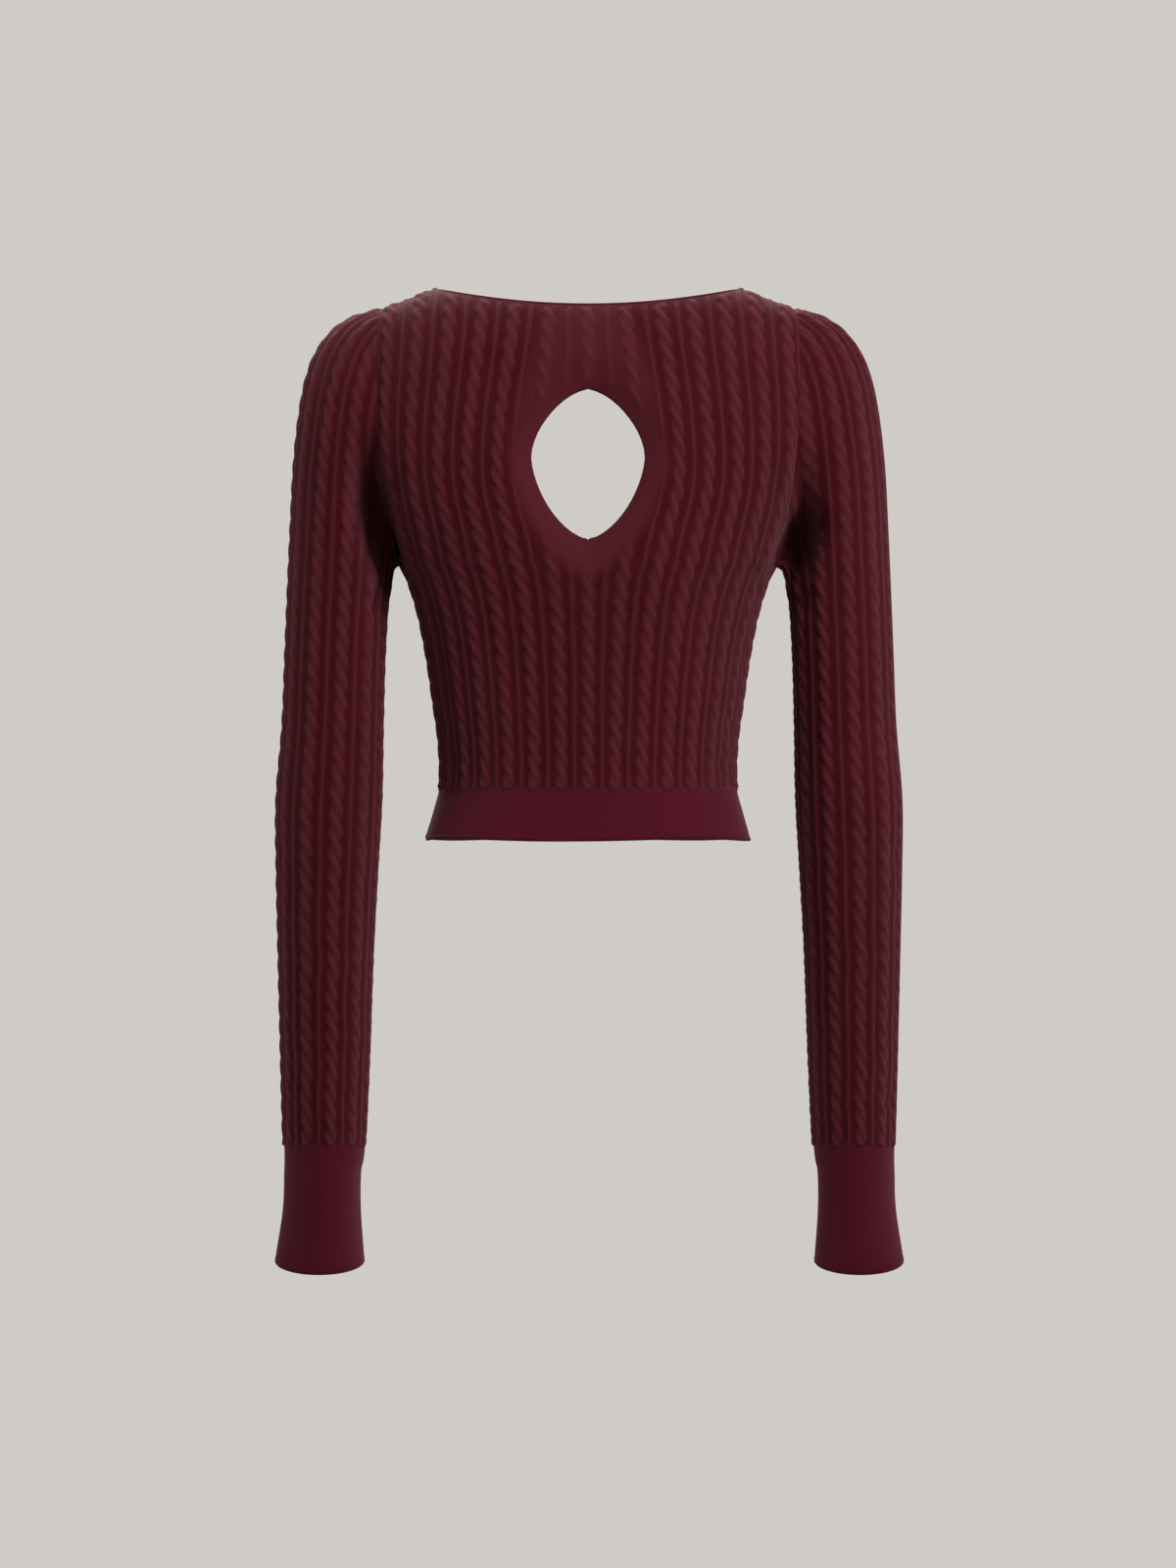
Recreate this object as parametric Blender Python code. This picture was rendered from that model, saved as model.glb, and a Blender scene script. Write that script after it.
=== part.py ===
"""Cropped cable-knit sweater, filled out as it is worn, with a keyhole in its back.

The origin is midway between the two high shoulder points. +Z is up, the wearer faces +Y,
and the back, with its keyhole, faces -Y. Left and right are the wearer's, so the left
sleeve is at -X. Lengths are in metres.

Each knitted piece is a closed wall. Its outer side carries the cables, two strands that
cross at every pitch, and the single ribs between them. Its inner side is plain.
A piece is laid out flat first, in repeats across and metres up a wale, and then every
point of that layout is taken onto the garment's form.
"""

import math

import bmesh
import bpy
import numpy as np
from mathutils import Vector
from mathutils.geometry import delaunay_2d_cdt

COLLECTION_NAME = "cropped_knit_sweater"

# Cloth
WALL = 0.0016
BAND_WALL = 0.0022
ROPE_RISE = 0.0023
RIB_RISE = 0.0011
SEAM_GAP = 0.0003

# Heights below the high shoulder points
SHOULDER_END_Z = -0.0150
UNDERARM_Z = -0.2020
HEM_SEAM_Z = -0.3605
HEM_Z = -0.3990
FRONT_NECK_Z = -0.1990
BACK_NECK_Z = -0.0099

# Widths from the centre line
NECK_HALF_WIDTH = 0.1090
SHOULDER_END_X = 0.1500
UNDERARM_X = 0.1360
SHOULDER_ROUNDING = 0.0600
SECTION_POWER = 2.3

# The body's form: height, half width at the side seams, half depth behind, half depth in front.
# Above the underarm the half width follows from the armhole.
BODY_FORM = (
    (-0.3990, 0.1178, 0.0900, 0.0900),
    (-0.3810, 0.1128, 0.0872, 0.0872),
    (-0.3605, 0.1075, 0.0850, 0.0850),
    (-0.3300, 0.1075, 0.0845, 0.0850),
    (-0.3000, 0.1115, 0.0865, 0.0880),
    (-0.2600, 0.1175, 0.0905, 0.0950),
    (-0.2300, 0.1240, 0.0950, 0.1030),
    (-0.2120, 0.1305, 0.0975, 0.1065),
    (-0.2020, 0.1360, 0.0990, 0.1080),
    (-0.1500, 0.1360, 0.0985, 0.1080),
    (-0.1000, 0.1360, 0.0915, 0.0960),
    (-0.0500, 0.1360, 0.0780, 0.0790),
    (0.0060, 0.1360, 0.0620, 0.0620),
)

# The shoulder line's height at a distance from the centre line. Inside the neck it only leads the form.
SHOULDER_LINE = (
    (0.0000, 0.0050),
    (0.0800, 0.0035),
    (0.1090, -0.0010),
    (0.1250, -0.0055),
    (0.1500, -0.0150),
    (0.2000, -0.0400),
)

# The sleeve's rings, armhole to cuff end: outer point x and z, inner point x and z, half depth,
# how far the ring's middle stands forward, and how far its front and back bow outwards.
SLEEVE_RINGS = (
    (0.1500, -0.0150, 0.1360, -0.2020, 0.0540, 0.000, 0.0075),
    (0.1690, -0.0205, 0.1372, -0.2030, 0.0535, 0.000, 0.0068),
    (0.1840, -0.0300, 0.1385, -0.2040, 0.0528, 0.000, 0.0058),
    (0.1965, -0.0465, 0.1395, -0.2052, 0.0518, 0.000, 0.0046),
    (0.2040, -0.0670, 0.1402, -0.2068, 0.0506, 0.000, 0.0034),
    (0.2090, -0.0950, 0.1410, -0.2092, 0.0492, 0.000, 0.0022),
    (0.2125, -0.1300, 0.1418, -0.2130, 0.0476, 0.000, 0.0012),
    (0.2145, -0.1700, 0.1427, -0.2195, 0.0461, 0.000, 0.0004),
    (0.2165, -0.2150, 0.1440, -0.2350, 0.0446, 0.000, 0.0000),
    (0.2185, -0.2650, 0.1455, -0.2710, 0.0431, 0.000, 0.0000),
    (0.2205, -0.3150, 0.1470, -0.3170, 0.0416, 0.001, 0.0000),
    (0.2250, -0.3700, 0.1478, -0.3700, 0.0405, 0.004, 0.0000),
    (0.2250, -0.4200, 0.1505, -0.4200, 0.0390, 0.010, 0.0000),
    (0.2240, -0.4800, 0.1538, -0.4800, 0.0368, 0.021, 0.0000),
    (0.2228, -0.5500, 0.1572, -0.5500, 0.0342, 0.038, 0.0000),
    (0.2215, -0.6200, 0.1622, -0.6200, 0.0312, 0.057, 0.0000),
    (0.2215, -0.6420, 0.1652, -0.6420, 0.0300, 0.063, 0.0000),
    (0.2228, -0.6700, 0.1656, -0.6700, 0.0298, 0.0715, 0.0000),
    (0.2270, -0.7060, 0.1648, -0.7060, 0.0308, 0.0825, 0.0000),
)
CUFF_RING = 15

# Keyhole: a rounded lozenge, and the plain margin knitted round it
KEYHOLE_Z = -0.1210
KEYHOLE_HALF_WIDTH = 0.0412
KEYHOLE_UP = 0.0483
KEYHOLE_DOWN = 0.0610
KEYHOLE_POWER = 1.67
PLAIN_MARGIN_SIDE = 0.0110
PLAIN_MARGIN_UP = 0.0055
PLAIN_MARGIN_DOWN = 0.0215
KEYHOLE_PUSH = 0.0190
KEYHOLE_PUSH_Z = -0.1315
KEYHOLE_PUSH_SPREAD = 0.0560
KEYHOLE_FREE_REPEATS = 1.5
KEYHOLE_PUSH_REACH = 12.0

# Knit layout: repeats of one cable and one rib, and the cables' crossing pitch
PANEL_HALF_REPEATS = 8
SLEEVE_HALF_REPEATS = 6
CHEST_REPEAT = 0.0238
SLEEVE_LAYOUT_REPEAT = 0.0185
PITCH_LOW = 0.0142
PITCH_HIGH = 0.0165
PITCH_CHANGE_LENGTH = 0.330
SLEEVE_PITCH = 0.0152
RIB_STEP = 3

# Where a cell's points lie: shares of a repeat across, shares of a pitch up
STRAND_HALF = 0.17
VALLEY_HALF = 0.29
STRAND_HIGH = 0.90
STRAND_LOW = 0.30
GROOVE_LEFT = 0.35
GROOVE_RIGHT = -0.15

# How close to an edge the raised points come, and how far apart the plain side's points lie
EDGE_MARGIN = 0.0036
UNDERARM_MARGIN = 0.0100
INNER_SPACING = 0.036

# How finely the forms are worked out before the knit is laid on them
PANEL_FINE_WALES = 129
SLEEVE_FINE_WALES = 97
SLEEVE_FINE_RINGS = 181
SECTION_STEPS = 90
HEIGHT_STEP = 0.0025
SHOULDER_STEP = 0.0008
SHOULDER_ZONE_Z = -0.0400
FORM_TOP_Z = 0.0061
SLOPE_STEP = 0.0008

# Points along the pieces' edges
HEM_EDGE_POINTS = 33
SIDE_EDGE_POINTS = 10
ARMHOLE_HALF_POINTS = 19
SHOULDER_EDGE_POINTS = 6
BACK_NECK_HALF_POINTS = 9
FRONT_NECK_HALF_POINTS = 15
KEYHOLE_POINTS = 32
SLEEVE_HEM_POINTS = 29
SLEEVE_SEAM_POINTS = 18
BAND_POINTS = 31
BAND_ROWS = 5
CUFF_POINTS = 28
CUFF_ROWS = 6
NECK_EDGE_BACK_POINTS = 20
NECK_EDGE_FRONT_POINTS = 30

# Neck edge
NECK_END_GAP = 0.0020
NECK_EDGE_HEIGHT = 0.0036
NECK_EDGE_THICKNESS = 0.0034
V_CURVE = 1.4
BACK_NECK_POWER = 2.2
NECK_SIDES = 6

CABLE_COLOUR = (0.068, 0.0085, 0.0125, 1.0)
SMOOTH_COLOUR = (0.075, 0.0078, 0.0140, 1.0)


def clear_scene():
    for obj in list(bpy.data.objects):
        bpy.data.objects.remove(obj, do_unlink=True)


def smooth_table(rows, at, column):
    """A smooth curve through one column of a table whose first column rises."""
    keys = np.array([row[0] for row in rows])
    values = np.array([row[column] for row in rows])
    slopes = np.gradient(values, keys)
    at = np.clip(np.asarray(at, float), keys[0], keys[-1])
    left = np.clip(np.searchsorted(keys, at, side="right") - 1, 0, len(keys) - 2)
    width = keys[left + 1] - keys[left]
    share = (at - keys[left]) / width
    start = values[left] * (1 + 2 * share) * (1 - share) ** 2
    end = values[left + 1] * share**2 * (3 - 2 * share)
    bend = slopes[left] * share * (1 - share) ** 2 - slopes[left + 1] * share**2 * (1 - share)
    return start + end + width * bend


def unit(vector):
    length = np.linalg.norm(vector)
    return vector / length if length > 0 else vector


# ---------------------------------------------------------------- form of the sleeves


def ring_values(station):
    rows = [(index, *row) for index, row in enumerate(SLEEVE_RINGS)]
    return [float(smooth_table(rows, station, column)) for column in range(1, 8)]


def ring_axes(station):
    """Middle, outward axis, forward axis, half width, half depth and bow of a ring, on the +X side."""
    outer_x, outer_z, inner_x, inner_z, half_depth, forward, bow = ring_values(station)
    outer = np.array([outer_x, forward, outer_z])
    inner = np.array([inner_x, forward, inner_z])
    step = 0.05
    before = ring_values(max(station - step, 0))
    after = ring_values(min(station + step, len(SLEEVE_RINGS) - 1))
    drop = 0.5 * (before[1] + before[3] - after[1] - after[3])
    lean = math.atan2(after[5] - before[5], max(drop, 1e-6))
    across = unit(outer - inner)
    forward_axis = np.array([0.0, math.cos(lean), math.sin(lean)])
    return (outer + inner) / 2, across, forward_axis, np.linalg.norm(outer - inner) / 2, half_depth, bow


def ring_point(station, angle, side):
    """Point of a sleeve ring and its outward direction in the ring's plane. Angle 0 is the outer line."""
    middle, across, forward_axis, half_width, half_depth, bow = ring_axes(station)
    bow_axis = np.array([across[2], 0.0, -across[0]])
    point = middle + across * half_width * math.cos(angle) + forward_axis * half_depth * math.sin(angle)
    point = point + bow_axis * bow * math.sin(angle) ** 2
    out = unit(across * math.cos(angle) / half_width + forward_axis * math.sin(angle) / half_depth)
    flip = np.array([side, 1.0, 1.0])
    return point * flip, out * flip


# ---------------------------------------------------------------- form of the body


def armhole_edge(z):
    """Distance from the centre line and half depth of the armhole at a height."""
    middle, across, _, half_height, half_depth, bow = ring_axes(0)
    share = np.clip((z - middle[2]) / (half_height * across[2]), -0.9995, 0.9995)
    round_share = np.sqrt(1 - share**2)
    return middle[0] + across[0] * half_height * share + bow * round_share**2, half_depth * round_share


def shoulder_factor(x, z):
    below = np.clip((smooth_table(SHOULDER_LINE, np.abs(x), 1) - z) / SHOULDER_ROUNDING, 0.0, 1.0)
    return np.sqrt(np.clip(1 - (1 - below) ** 2, 0.0, 1.0))


def section_width(z, depth_column):
    """Half width at which the body's section at a height would close."""
    if z <= UNDERARM_Z:
        return float(smooth_table(BODY_FORM, z, 1))
    z = min(z, SHOULDER_END_Z - 0.001)
    edge_x, edge_y = armhole_edge(z)
    depth = float(smooth_table(BODY_FORM, z, depth_column)) * float(shoulder_factor(edge_x, z))
    share = min(edge_y / depth, 0.97)
    return float(edge_x) / (1 - share**SECTION_POWER) ** (1 / SECTION_POWER)


def wall_depth(x, z, width, depth_column):
    """Distance of the body's wall from the side seams' plane."""
    share = np.clip(np.abs(x) / width, 0.0, 1.0)
    bulge = (1 - share**SECTION_POWER) ** (1 / SECTION_POWER)
    return smooth_table(BODY_FORM, z, depth_column) * bulge * shoulder_factor(x, z)


def keyhole_push(z, repeats):
    """How far the wales are spread outwards by the keyhole."""
    size = KEYHOLE_PUSH * np.exp(-(((z - KEYHOLE_PUSH_Z) / KEYHOLE_PUSH_SPREAD) ** 2))
    near = repeats / KEYHOLE_FREE_REPEATS
    far = 1 - (repeats - KEYHOLE_FREE_REPEATS) / KEYHOLE_PUSH_REACH
    return size * np.where(repeats < KEYHOLE_FREE_REPEATS, near, np.clip(far, 0, 1))


def keyhole_measure(x, z, side=0.0, up=0.0, down=0.0):
    """Under 1 inside the keyhole grown by the three margins."""
    half_height = np.where(z > KEYHOLE_Z, KEYHOLE_UP + up, KEYHOLE_DOWN + down)
    across = np.abs(x) / (KEYHOLE_HALF_WIDTH + side)
    along = np.abs(z - KEYHOLE_Z) / half_height
    return across**KEYHOLE_POWER + along**KEYHOLE_POWER


class Wales:
    """A piece's form as a fan of wales: each wale is a line of points with its length from the bottom."""

    def __init__(self, repeats, lines):
        self.repeats = np.array(repeats)
        self.lines = lines
        self.lengths = []
        for line in lines:
            steps = np.linalg.norm(np.diff(line, axis=0), axis=1)
            self.lengths.append(np.concatenate([[0.0], np.cumsum(np.maximum(steps, 1e-7))]))

    def on_line(self, index, length):
        line, lengths = self.lines[index], self.lengths[index]
        return np.array([np.interp(length, lengths, line[:, axis]) for axis in range(3)])

    def place(self, repeat):
        at = float(np.interp(repeat, self.repeats, np.arange(len(self.repeats))))
        index = min(int(at), len(self.repeats) - 2)
        return index, at - index

    def point(self, repeat, length):
        index, share = self.place(repeat)
        return self.on_line(index, length) * (1 - share) + self.on_line(index + 1, length) * share

    def full_length(self, repeat):
        index, share = self.place(repeat)
        return self.lengths[index][-1] * (1 - share) + self.lengths[index + 1][-1] * share

    def normal(self, repeat, length, centre):
        """Outward direction: away from the piece's own middle line."""
        low, high = max(length - 0.002, 0.0), min(length + 0.002, self.full_length(repeat))
        along = self.point(repeat, high) - self.point(repeat, low)
        left, right = max(repeat - 0.06, self.repeats[0]), min(repeat + 0.06, self.repeats[-1])
        across = self.point(right, length) - self.point(left, length)
        out = unit(np.cross(across, along))
        return out if np.dot(out, self.point(repeat, length) - centre) >= 0 else -out


def panel_wales(facing, has_keyhole):
    """Wales of the back (facing -1) or the front (facing 1), seen from outside, left to right."""
    depth_column = 2 if facing < 0 else 3
    low_heights = np.arange(HEM_SEAM_Z, SHOULDER_ZONE_Z, HEIGHT_STEP)
    heights = np.concatenate([low_heights, np.arange(SHOULDER_ZONE_Z, FORM_TOP_Z, SHOULDER_STEP)])
    repeats = np.linspace(-PANEL_HALF_REPEATS, PANEL_HALF_REPEATS, PANEL_FINE_WALES)
    angles = np.linspace(0, math.pi / 2, SECTION_STEPS)
    rows = []
    for z in heights:
        width = section_width(z, depth_column)
        depth = float(smooth_table(BODY_FORM, z, depth_column))
        x = width * np.sin(angles) ** (2 / SECTION_POWER)
        y = depth * np.cos(angles) ** (2 / SECTION_POWER)
        arc = np.concatenate([[0.0], np.cumsum(np.hypot(np.diff(x), np.diff(y)))])
        spacing = arc[-1] / PANEL_HALF_REPEATS
        if z > UNDERARM_Z:
            spacing = min(spacing, CHEST_REPEAT)
        along = spacing * np.abs(repeats)
        if has_keyhole:
            along = along + keyhole_push(z, np.abs(repeats))
        wale_x = np.interp(np.minimum(along, arc[-1]), arc, x) * np.sign(repeats)
        top = smooth_table(SHOULDER_LINE, np.abs(wale_x), 1)
        wale_z = np.minimum(z, top)
        wale_y = wall_depth(wale_x, wale_z, width, depth_column)
        rows.append(np.stack([wale_x * -facing, wale_y * facing, wale_z], axis=1))
    grid = np.array(rows)
    return Wales(repeats, [grid[:, index] for index in range(len(repeats))])


def layout_of(wales, x, z):
    """Repeat and length of the wale point nearest a given place in the front view."""
    places, lengths = [], []
    for line, line_lengths in zip(wales.lines, wales.lengths):
        level = np.interp(z, line[:, 2], np.arange(len(line)))
        low = min(int(level), len(line) - 2)
        share = level - low
        places.append(line[low, 0] * (1 - share) + line[low + 1, 0] * share)
        lengths.append(line_lengths[low] * (1 - share) + line_lengths[low + 1] * share)
    order = np.argsort(places)
    places = np.array(places)[order]
    repeat = np.interp(x, places, wales.repeats[order])
    return float(repeat), float(np.interp(x, places, np.array(lengths)[order]))


def sleeve_wales(side):
    """Wales of a sleeve from the cuff seam up to the armhole, seen from outside, left to right."""
    repeats = np.linspace(-SLEEVE_HALF_REPEATS, SLEEVE_HALF_REPEATS, SLEEVE_FINE_WALES)
    stations = np.linspace(CUFF_RING, 0, SLEEVE_FINE_RINGS)
    lines = []
    for repeat in repeats:
        angle = side * repeat * math.pi / SLEEVE_HALF_REPEATS
        lines.append(np.array([ring_point(station, angle, side)[0] for station in stations]))
    return Wales(repeats, lines)


# ---------------------------------------------------------------- knitted walls


def inside(loops, point):
    """Even-odd test of a layout point against closed loops."""
    found = False
    x, y = point
    for loop in loops:
        count = len(loop)
        for index in range(count):
            ax, ay = loop[index]
            bx, by = loop[(index + 1) % count]
            if (ay > y) != (by > y) and x < (bx - ax) * (y - ay) / (by - ay) + ax:
                found = not found
    return found


def edge_distance(loops, point):
    nearest = 1.0
    for loop in loops:
        start = np.asarray(loop)
        step = np.roll(start, -1, axis=0) - start
        squares = np.maximum((step**2).sum(axis=1), 1e-12)
        share = ((point - start) * step).sum(axis=1) / squares
        foot = start + step * np.clip(share, 0, 1)[:, None]
        nearest = min(nearest, float(np.min(np.linalg.norm(point - foot, axis=1))))
    return nearest


def triangles_of(points, links, loops):
    """Delaunay triangles of layout points that keep the given links and lie inside the loops."""
    made = delaunay_2d_cdt([Vector(point) for point in points], links, [], 0, 1e-7)
    sources = [origins[0] if origins else None for origins in made[3]]
    found = []
    for face in made[2]:
        corners = [sources[index] for index in face]
        if None in corners:
            raise ValueError("two lines of the knit layout cross")
        centre = sum((np.array(points[index]) for index in corners), np.zeros(2)) / 3
        if inside(loops, centre):
            found.append(corners)
    return found


def loop_links(loops):
    links, start = [], 0
    for loop in loops:
        count = len(loop)
        links += [(start + index, start + (index + 1) % count) for index in range(count)]
        start += count
    return links


class KnitPiece:
    """Collects a piece's layout points with their places on the garment, and closes its wall."""

    def __init__(self, wales, repeat_width, centre, keep):
        self.wales = wales
        self.repeat_width = repeat_width
        self.centre = centre
        self.keep = keep
        self.loops = []
        self.edge_outer = []
        self.edge_inner = []

    def flat(self, repeat, length):
        return (repeat * self.repeat_width, length)

    def lifted(self, repeat, length, rise):
        centre = self.centre(self.wales.point(repeat, length))
        return self.wales.point(repeat, length) + self.wales.normal(repeat, length, centre) * rise

    def add_loop(self, rows):
        """A closed edge: layout place, outer point and inner point of each row."""
        self.loops.append([self.flat(*row[0]) for row in rows])
        self.edge_outer += [row[1] for row in rows]
        self.edge_inner += [row[2] for row in rows]

    def fits(self, repeat, length):
        place = self.flat(repeat, length)
        if not inside(self.loops, place) or edge_distance(self.loops, np.array(place)) < EDGE_MARGIN:
            return False
        return self.keep(self.wales.point(repeat, length))

    def cable(self, repeat, crossings):
        """Points and links of one cable: a strand's ridge and the groove under it at each crossing."""
        points, links = [], []
        for low, high in zip(crossings, crossings[1:]):
            pitch = high - low
            cell = (
                (repeat - STRAND_HALF, low + STRAND_HIGH * pitch, ROPE_RISE),
                (repeat + STRAND_HALF, low + STRAND_LOW * pitch, ROPE_RISE),
                (repeat - VALLEY_HALF, low + GROOVE_LEFT * pitch, 0.0),
                (repeat + VALLEY_HALF, low + GROOVE_RIGHT * pitch, 0.0),
            )
            fitting = [self.fits(corner[0], corner[1]) for corner in cell]
            for first, second in ((0, 1), (2, 3)):
                if fitting[first] and fitting[second]:
                    links.append((len(points), len(points) + 1))
                points += [cell[corner] for corner in (first, second) if fitting[corner]]
        return points, links

    def rib(self, repeat, crossings):
        points, links, previous = [], [], False
        for length in crossings[1::RIB_STEP]:
            fitting = self.fits(repeat, length)
            if fitting:
                points.append((repeat, length, RIB_RISE))
            if fitting and previous:
                links.append((len(points) - 2, len(points) - 1))
            previous = fitting
        return points, links

    def outer_points(self, cables, ribs, crossings):
        points, links = [], []
        for repeat in cables:
            new_points, new_links = self.cable(repeat, crossings)
            links += [(a + len(points), b + len(points)) for a, b in new_links]
            points += new_points
        for repeat in ribs:
            new_points, new_links = self.rib(repeat, crossings)
            links += [(a + len(points), b + len(points)) for a, b in new_links]
            points += new_points
        return points, links

    def inner_points(self):
        points = []
        top = max(place[1] for loop in self.loops for place in loop)
        half = int(round(self.wales.repeats[-1]))
        rows = np.arange(INNER_SPACING * 0.6, top, INNER_SPACING)
        for index, length in enumerate(rows):
            for repeat in np.arange(-half + 1 + index % 2, half, 2):
                place = np.array(self.flat(repeat, length))
                if inside(self.loops, place) and edge_distance(self.loops, place) > EDGE_MARGIN * 2:
                    points.append((repeat, length, -WALL))
        return points

    def side_mesh(self, points, links):
        """Triangles of one side, numbered with the edge points first."""
        edge = [place for loop in self.loops for place in loop]
        flat = edge + [self.flat(point[0], point[1]) for point in points]
        shifted = [(a + len(edge), b + len(edge)) for a, b in links]
        return triangles_of(flat, loop_links(self.loops) + shifted, self.loops)

    def build(self, cables, ribs, crossings, rim_links, joined):
        """Vertices and faces of the closed wall. Joined pairs are the two sides of a tube's own seam."""
        raised, raised_links = self.outer_points(cables, ribs, crossings)
        plain = self.inner_points()
        outer_faces = self.side_mesh(raised, raised_links)
        inner_faces = self.side_mesh(plain, [])
        outer = list(self.edge_outer) + [self.lifted(*point) for point in raised]
        inner = list(self.edge_inner) + [self.lifted(*point) for point in plain]
        shift = len(outer)
        same = {b: a for a, b in joined}
        same.update({b + shift: a + shift for a, b in joined})
        faces = list(outer_faces)
        faces += [[index + shift for index in reversed(face)] for face in inner_faces]
        for a, b in rim_links:
            faces.append([b, a, a + shift, b + shift])
        faces = [[same.get(index, index) for index in face] for face in faces]
        return outer + inner, faces


# ---------------------------------------------------------------- objects


def material(name, colour):
    made = bpy.data.materials.new(name)
    made.use_nodes = True
    shader = made.node_tree.nodes["Principled BSDF"]
    shader.inputs["Base Color"].default_value = colour
    shader.inputs["Roughness"].default_value = 0.9
    shader.inputs["Metallic"].default_value = 0.0
    made.diffuse_color = colour
    return made


def add_object(name, vertices, faces, finish, collection):
    mesh = bpy.data.meshes.new(name)
    obj = bpy.data.objects.new(name, mesh)
    collection.objects.link(obj)
    shape = bmesh.new()
    corners = [shape.verts.new(vertex) for vertex in vertices]
    for face in faces:
        shape.faces.new([corners[index] for index in face])
    loose = [vertex for vertex in shape.verts if not vertex.link_faces]
    bmesh.ops.delete(shape, geom=loose, context="VERTS")
    bmesh.ops.recalc_face_normals(shape, faces=shape.faces)
    shape.to_mesh(mesh)
    shape.free()
    mesh.materials.append(finish)
    mesh.shade_smooth()
    return obj


# ---------------------------------------------------------------- body panels


def neck_height(x, facing):
    """Height of the neckline's top edge at a distance from the centre line."""
    share = min(abs(x) / NECK_HALF_WIDTH, 1.0)
    if facing < 0:
        return BACK_NECK_Z * (1 - share**BACK_NECK_POWER)
    return FRONT_NECK_Z * (1 - share) ** (1 / V_CURVE)


def panel_point(x, z, facing):
    depth_column = 2 if facing < 0 else 3
    width = section_width(z, depth_column)
    return np.array([x, facing * float(wall_depth(x, z, width, depth_column)), z])


def crossings_of(length):
    rows = [0.0]
    while rows[-1] < length:
        rise = min(rows[-1] / PITCH_CHANGE_LENGTH, 1.0)
        rows.append(rows[-1] + PITCH_LOW + (PITCH_HIGH - PITCH_LOW) * rise)
    return rows


def seam_side(point, facing):
    """The point kept on its own side of the plane of the side and shoulder seams."""
    point = np.array(point)
    point[1] = facing * max(facing * point[1], SEAM_GAP / 2)
    return point


def panel_edge(wales, facing):
    """The panel's edge anticlockwise from its lower left corner, seen from outside."""
    right = -facing
    rows = []
    repeats = np.linspace(-PANEL_HALF_REPEATS, PANEL_HALF_REPEATS, HEM_EDGE_POINTS)

    def add_wale_row(repeat, length, level):
        place = wales.point(repeat, length)
        out = wales.normal(repeat, length, np.array([0.0, 0.0, place[2]]))
        if level:
            out = unit(out * np.array([1.0, 1.0, 0.0]))
        if abs(repeat) == PANEL_HALF_REPEATS:
            out = np.array([math.copysign(1.0, place[0]), 0.0, 0.0])
        rows.append(((repeat, length), seam_side(place, facing), seam_side(place - out * WALL, facing)))

    def add_place(point, out):
        place = layout_of(wales, point[0], min(point[2], wales_top(point[0])))
        rows.append((place, seam_side(point, facing), seam_side(point - out * WALL, facing)))

    for repeat in repeats[:-1]:
        add_wale_row(repeat, 0.0, True)
    side_length = layout_of(wales, right * UNDERARM_X, UNDERARM_Z - 0.0005)[1]
    side_rows = np.linspace(0.0, side_length, SIDE_EDGE_POINTS)[:-1]
    for length in side_rows:
        add_wale_row(PANEL_HALF_REPEATS, length, length == 0.0)
    half = []
    for turn in np.linspace(math.pi, 0.0, ARMHOLE_HALF_POINTS):
        point, out = ring_point(0, facing * turn, 1)
        point = point - np.array([SEAM_GAP, 0.0, 0.0])
        half.append((point, out))
    for x in np.linspace(SHOULDER_END_X, NECK_HALF_WIDTH + NECK_END_GAP, SHOULDER_EDGE_POINTS)[1:]:
        half.append((np.array([x, 0.0, float(smooth_table(SHOULDER_LINE, x, 1))]), np.array([0.0, 0.0, 1.0])))
    half += neck_points(facing)
    mirror = np.array([-1.0, 1.0, 1.0])
    first = [(p * np.array([right, 1, 1]), o * np.array([right, 1, 1])) for p, o in half]
    second = [(p * mirror, o * mirror) for p, o in reversed(first) if abs(p[0]) > 1e-6]
    for point, out in first + second:
        add_place(point, out)
    for length in side_rows[:0:-1]:
        add_wale_row(-PANEL_HALF_REPEATS, length, False)
    return rows


def wales_top(x):
    return float(smooth_table(SHOULDER_LINE, abs(x), 1))


def neck_points(facing):
    """Half of a panel's neckline, from the shoulder to the centre, under the neck edge."""
    rows = []
    count = BACK_NECK_HALF_POINTS if facing < 0 else FRONT_NECK_HALF_POINTS
    drop = NECK_EDGE_HEIGHT + SEAM_GAP
    for share in np.linspace(1.0, 0.0, count):
        x = NECK_HALF_WIDTH * share
        z = neck_height(x, facing)
        rise = neck_height(x + SLOPE_STEP, facing) - neck_height(max(x - SLOPE_STEP, 0.0), facing)
        slope = rise / (2 * SLOPE_STEP)
        along = unit(np.array([1.0, 0.0, slope]))
        away = np.array([-along[2], 0.0, along[0]])
        if share == 1.0:
            away = unit(np.array([-0.6, 0.0, 1.0]))
        place = np.array([x, 0.0, z]) - away * drop
        place[0] = max(place[0], 0.0)
        if share == 0.0:
            place[0] = 0.0
            if facing > 0:
                place[2] = z - drop * 1.6
        point = panel_point(place[0], min(place[2], wales_top(place[0]) - 0.0004), facing)
        out = panel_normal(point[0], point[2], facing)
        rows.append((point, out))
    return rows


def panel_normal(x, z, facing):
    low = panel_point(x, z - SLOPE_STEP, facing)
    right = panel_point(x + SLOPE_STEP, z, facing)
    middle = panel_point(x, z, facing)
    out = unit(np.cross(right - middle, middle - low))
    return out if out[1] * facing > 0 else -out


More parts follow.
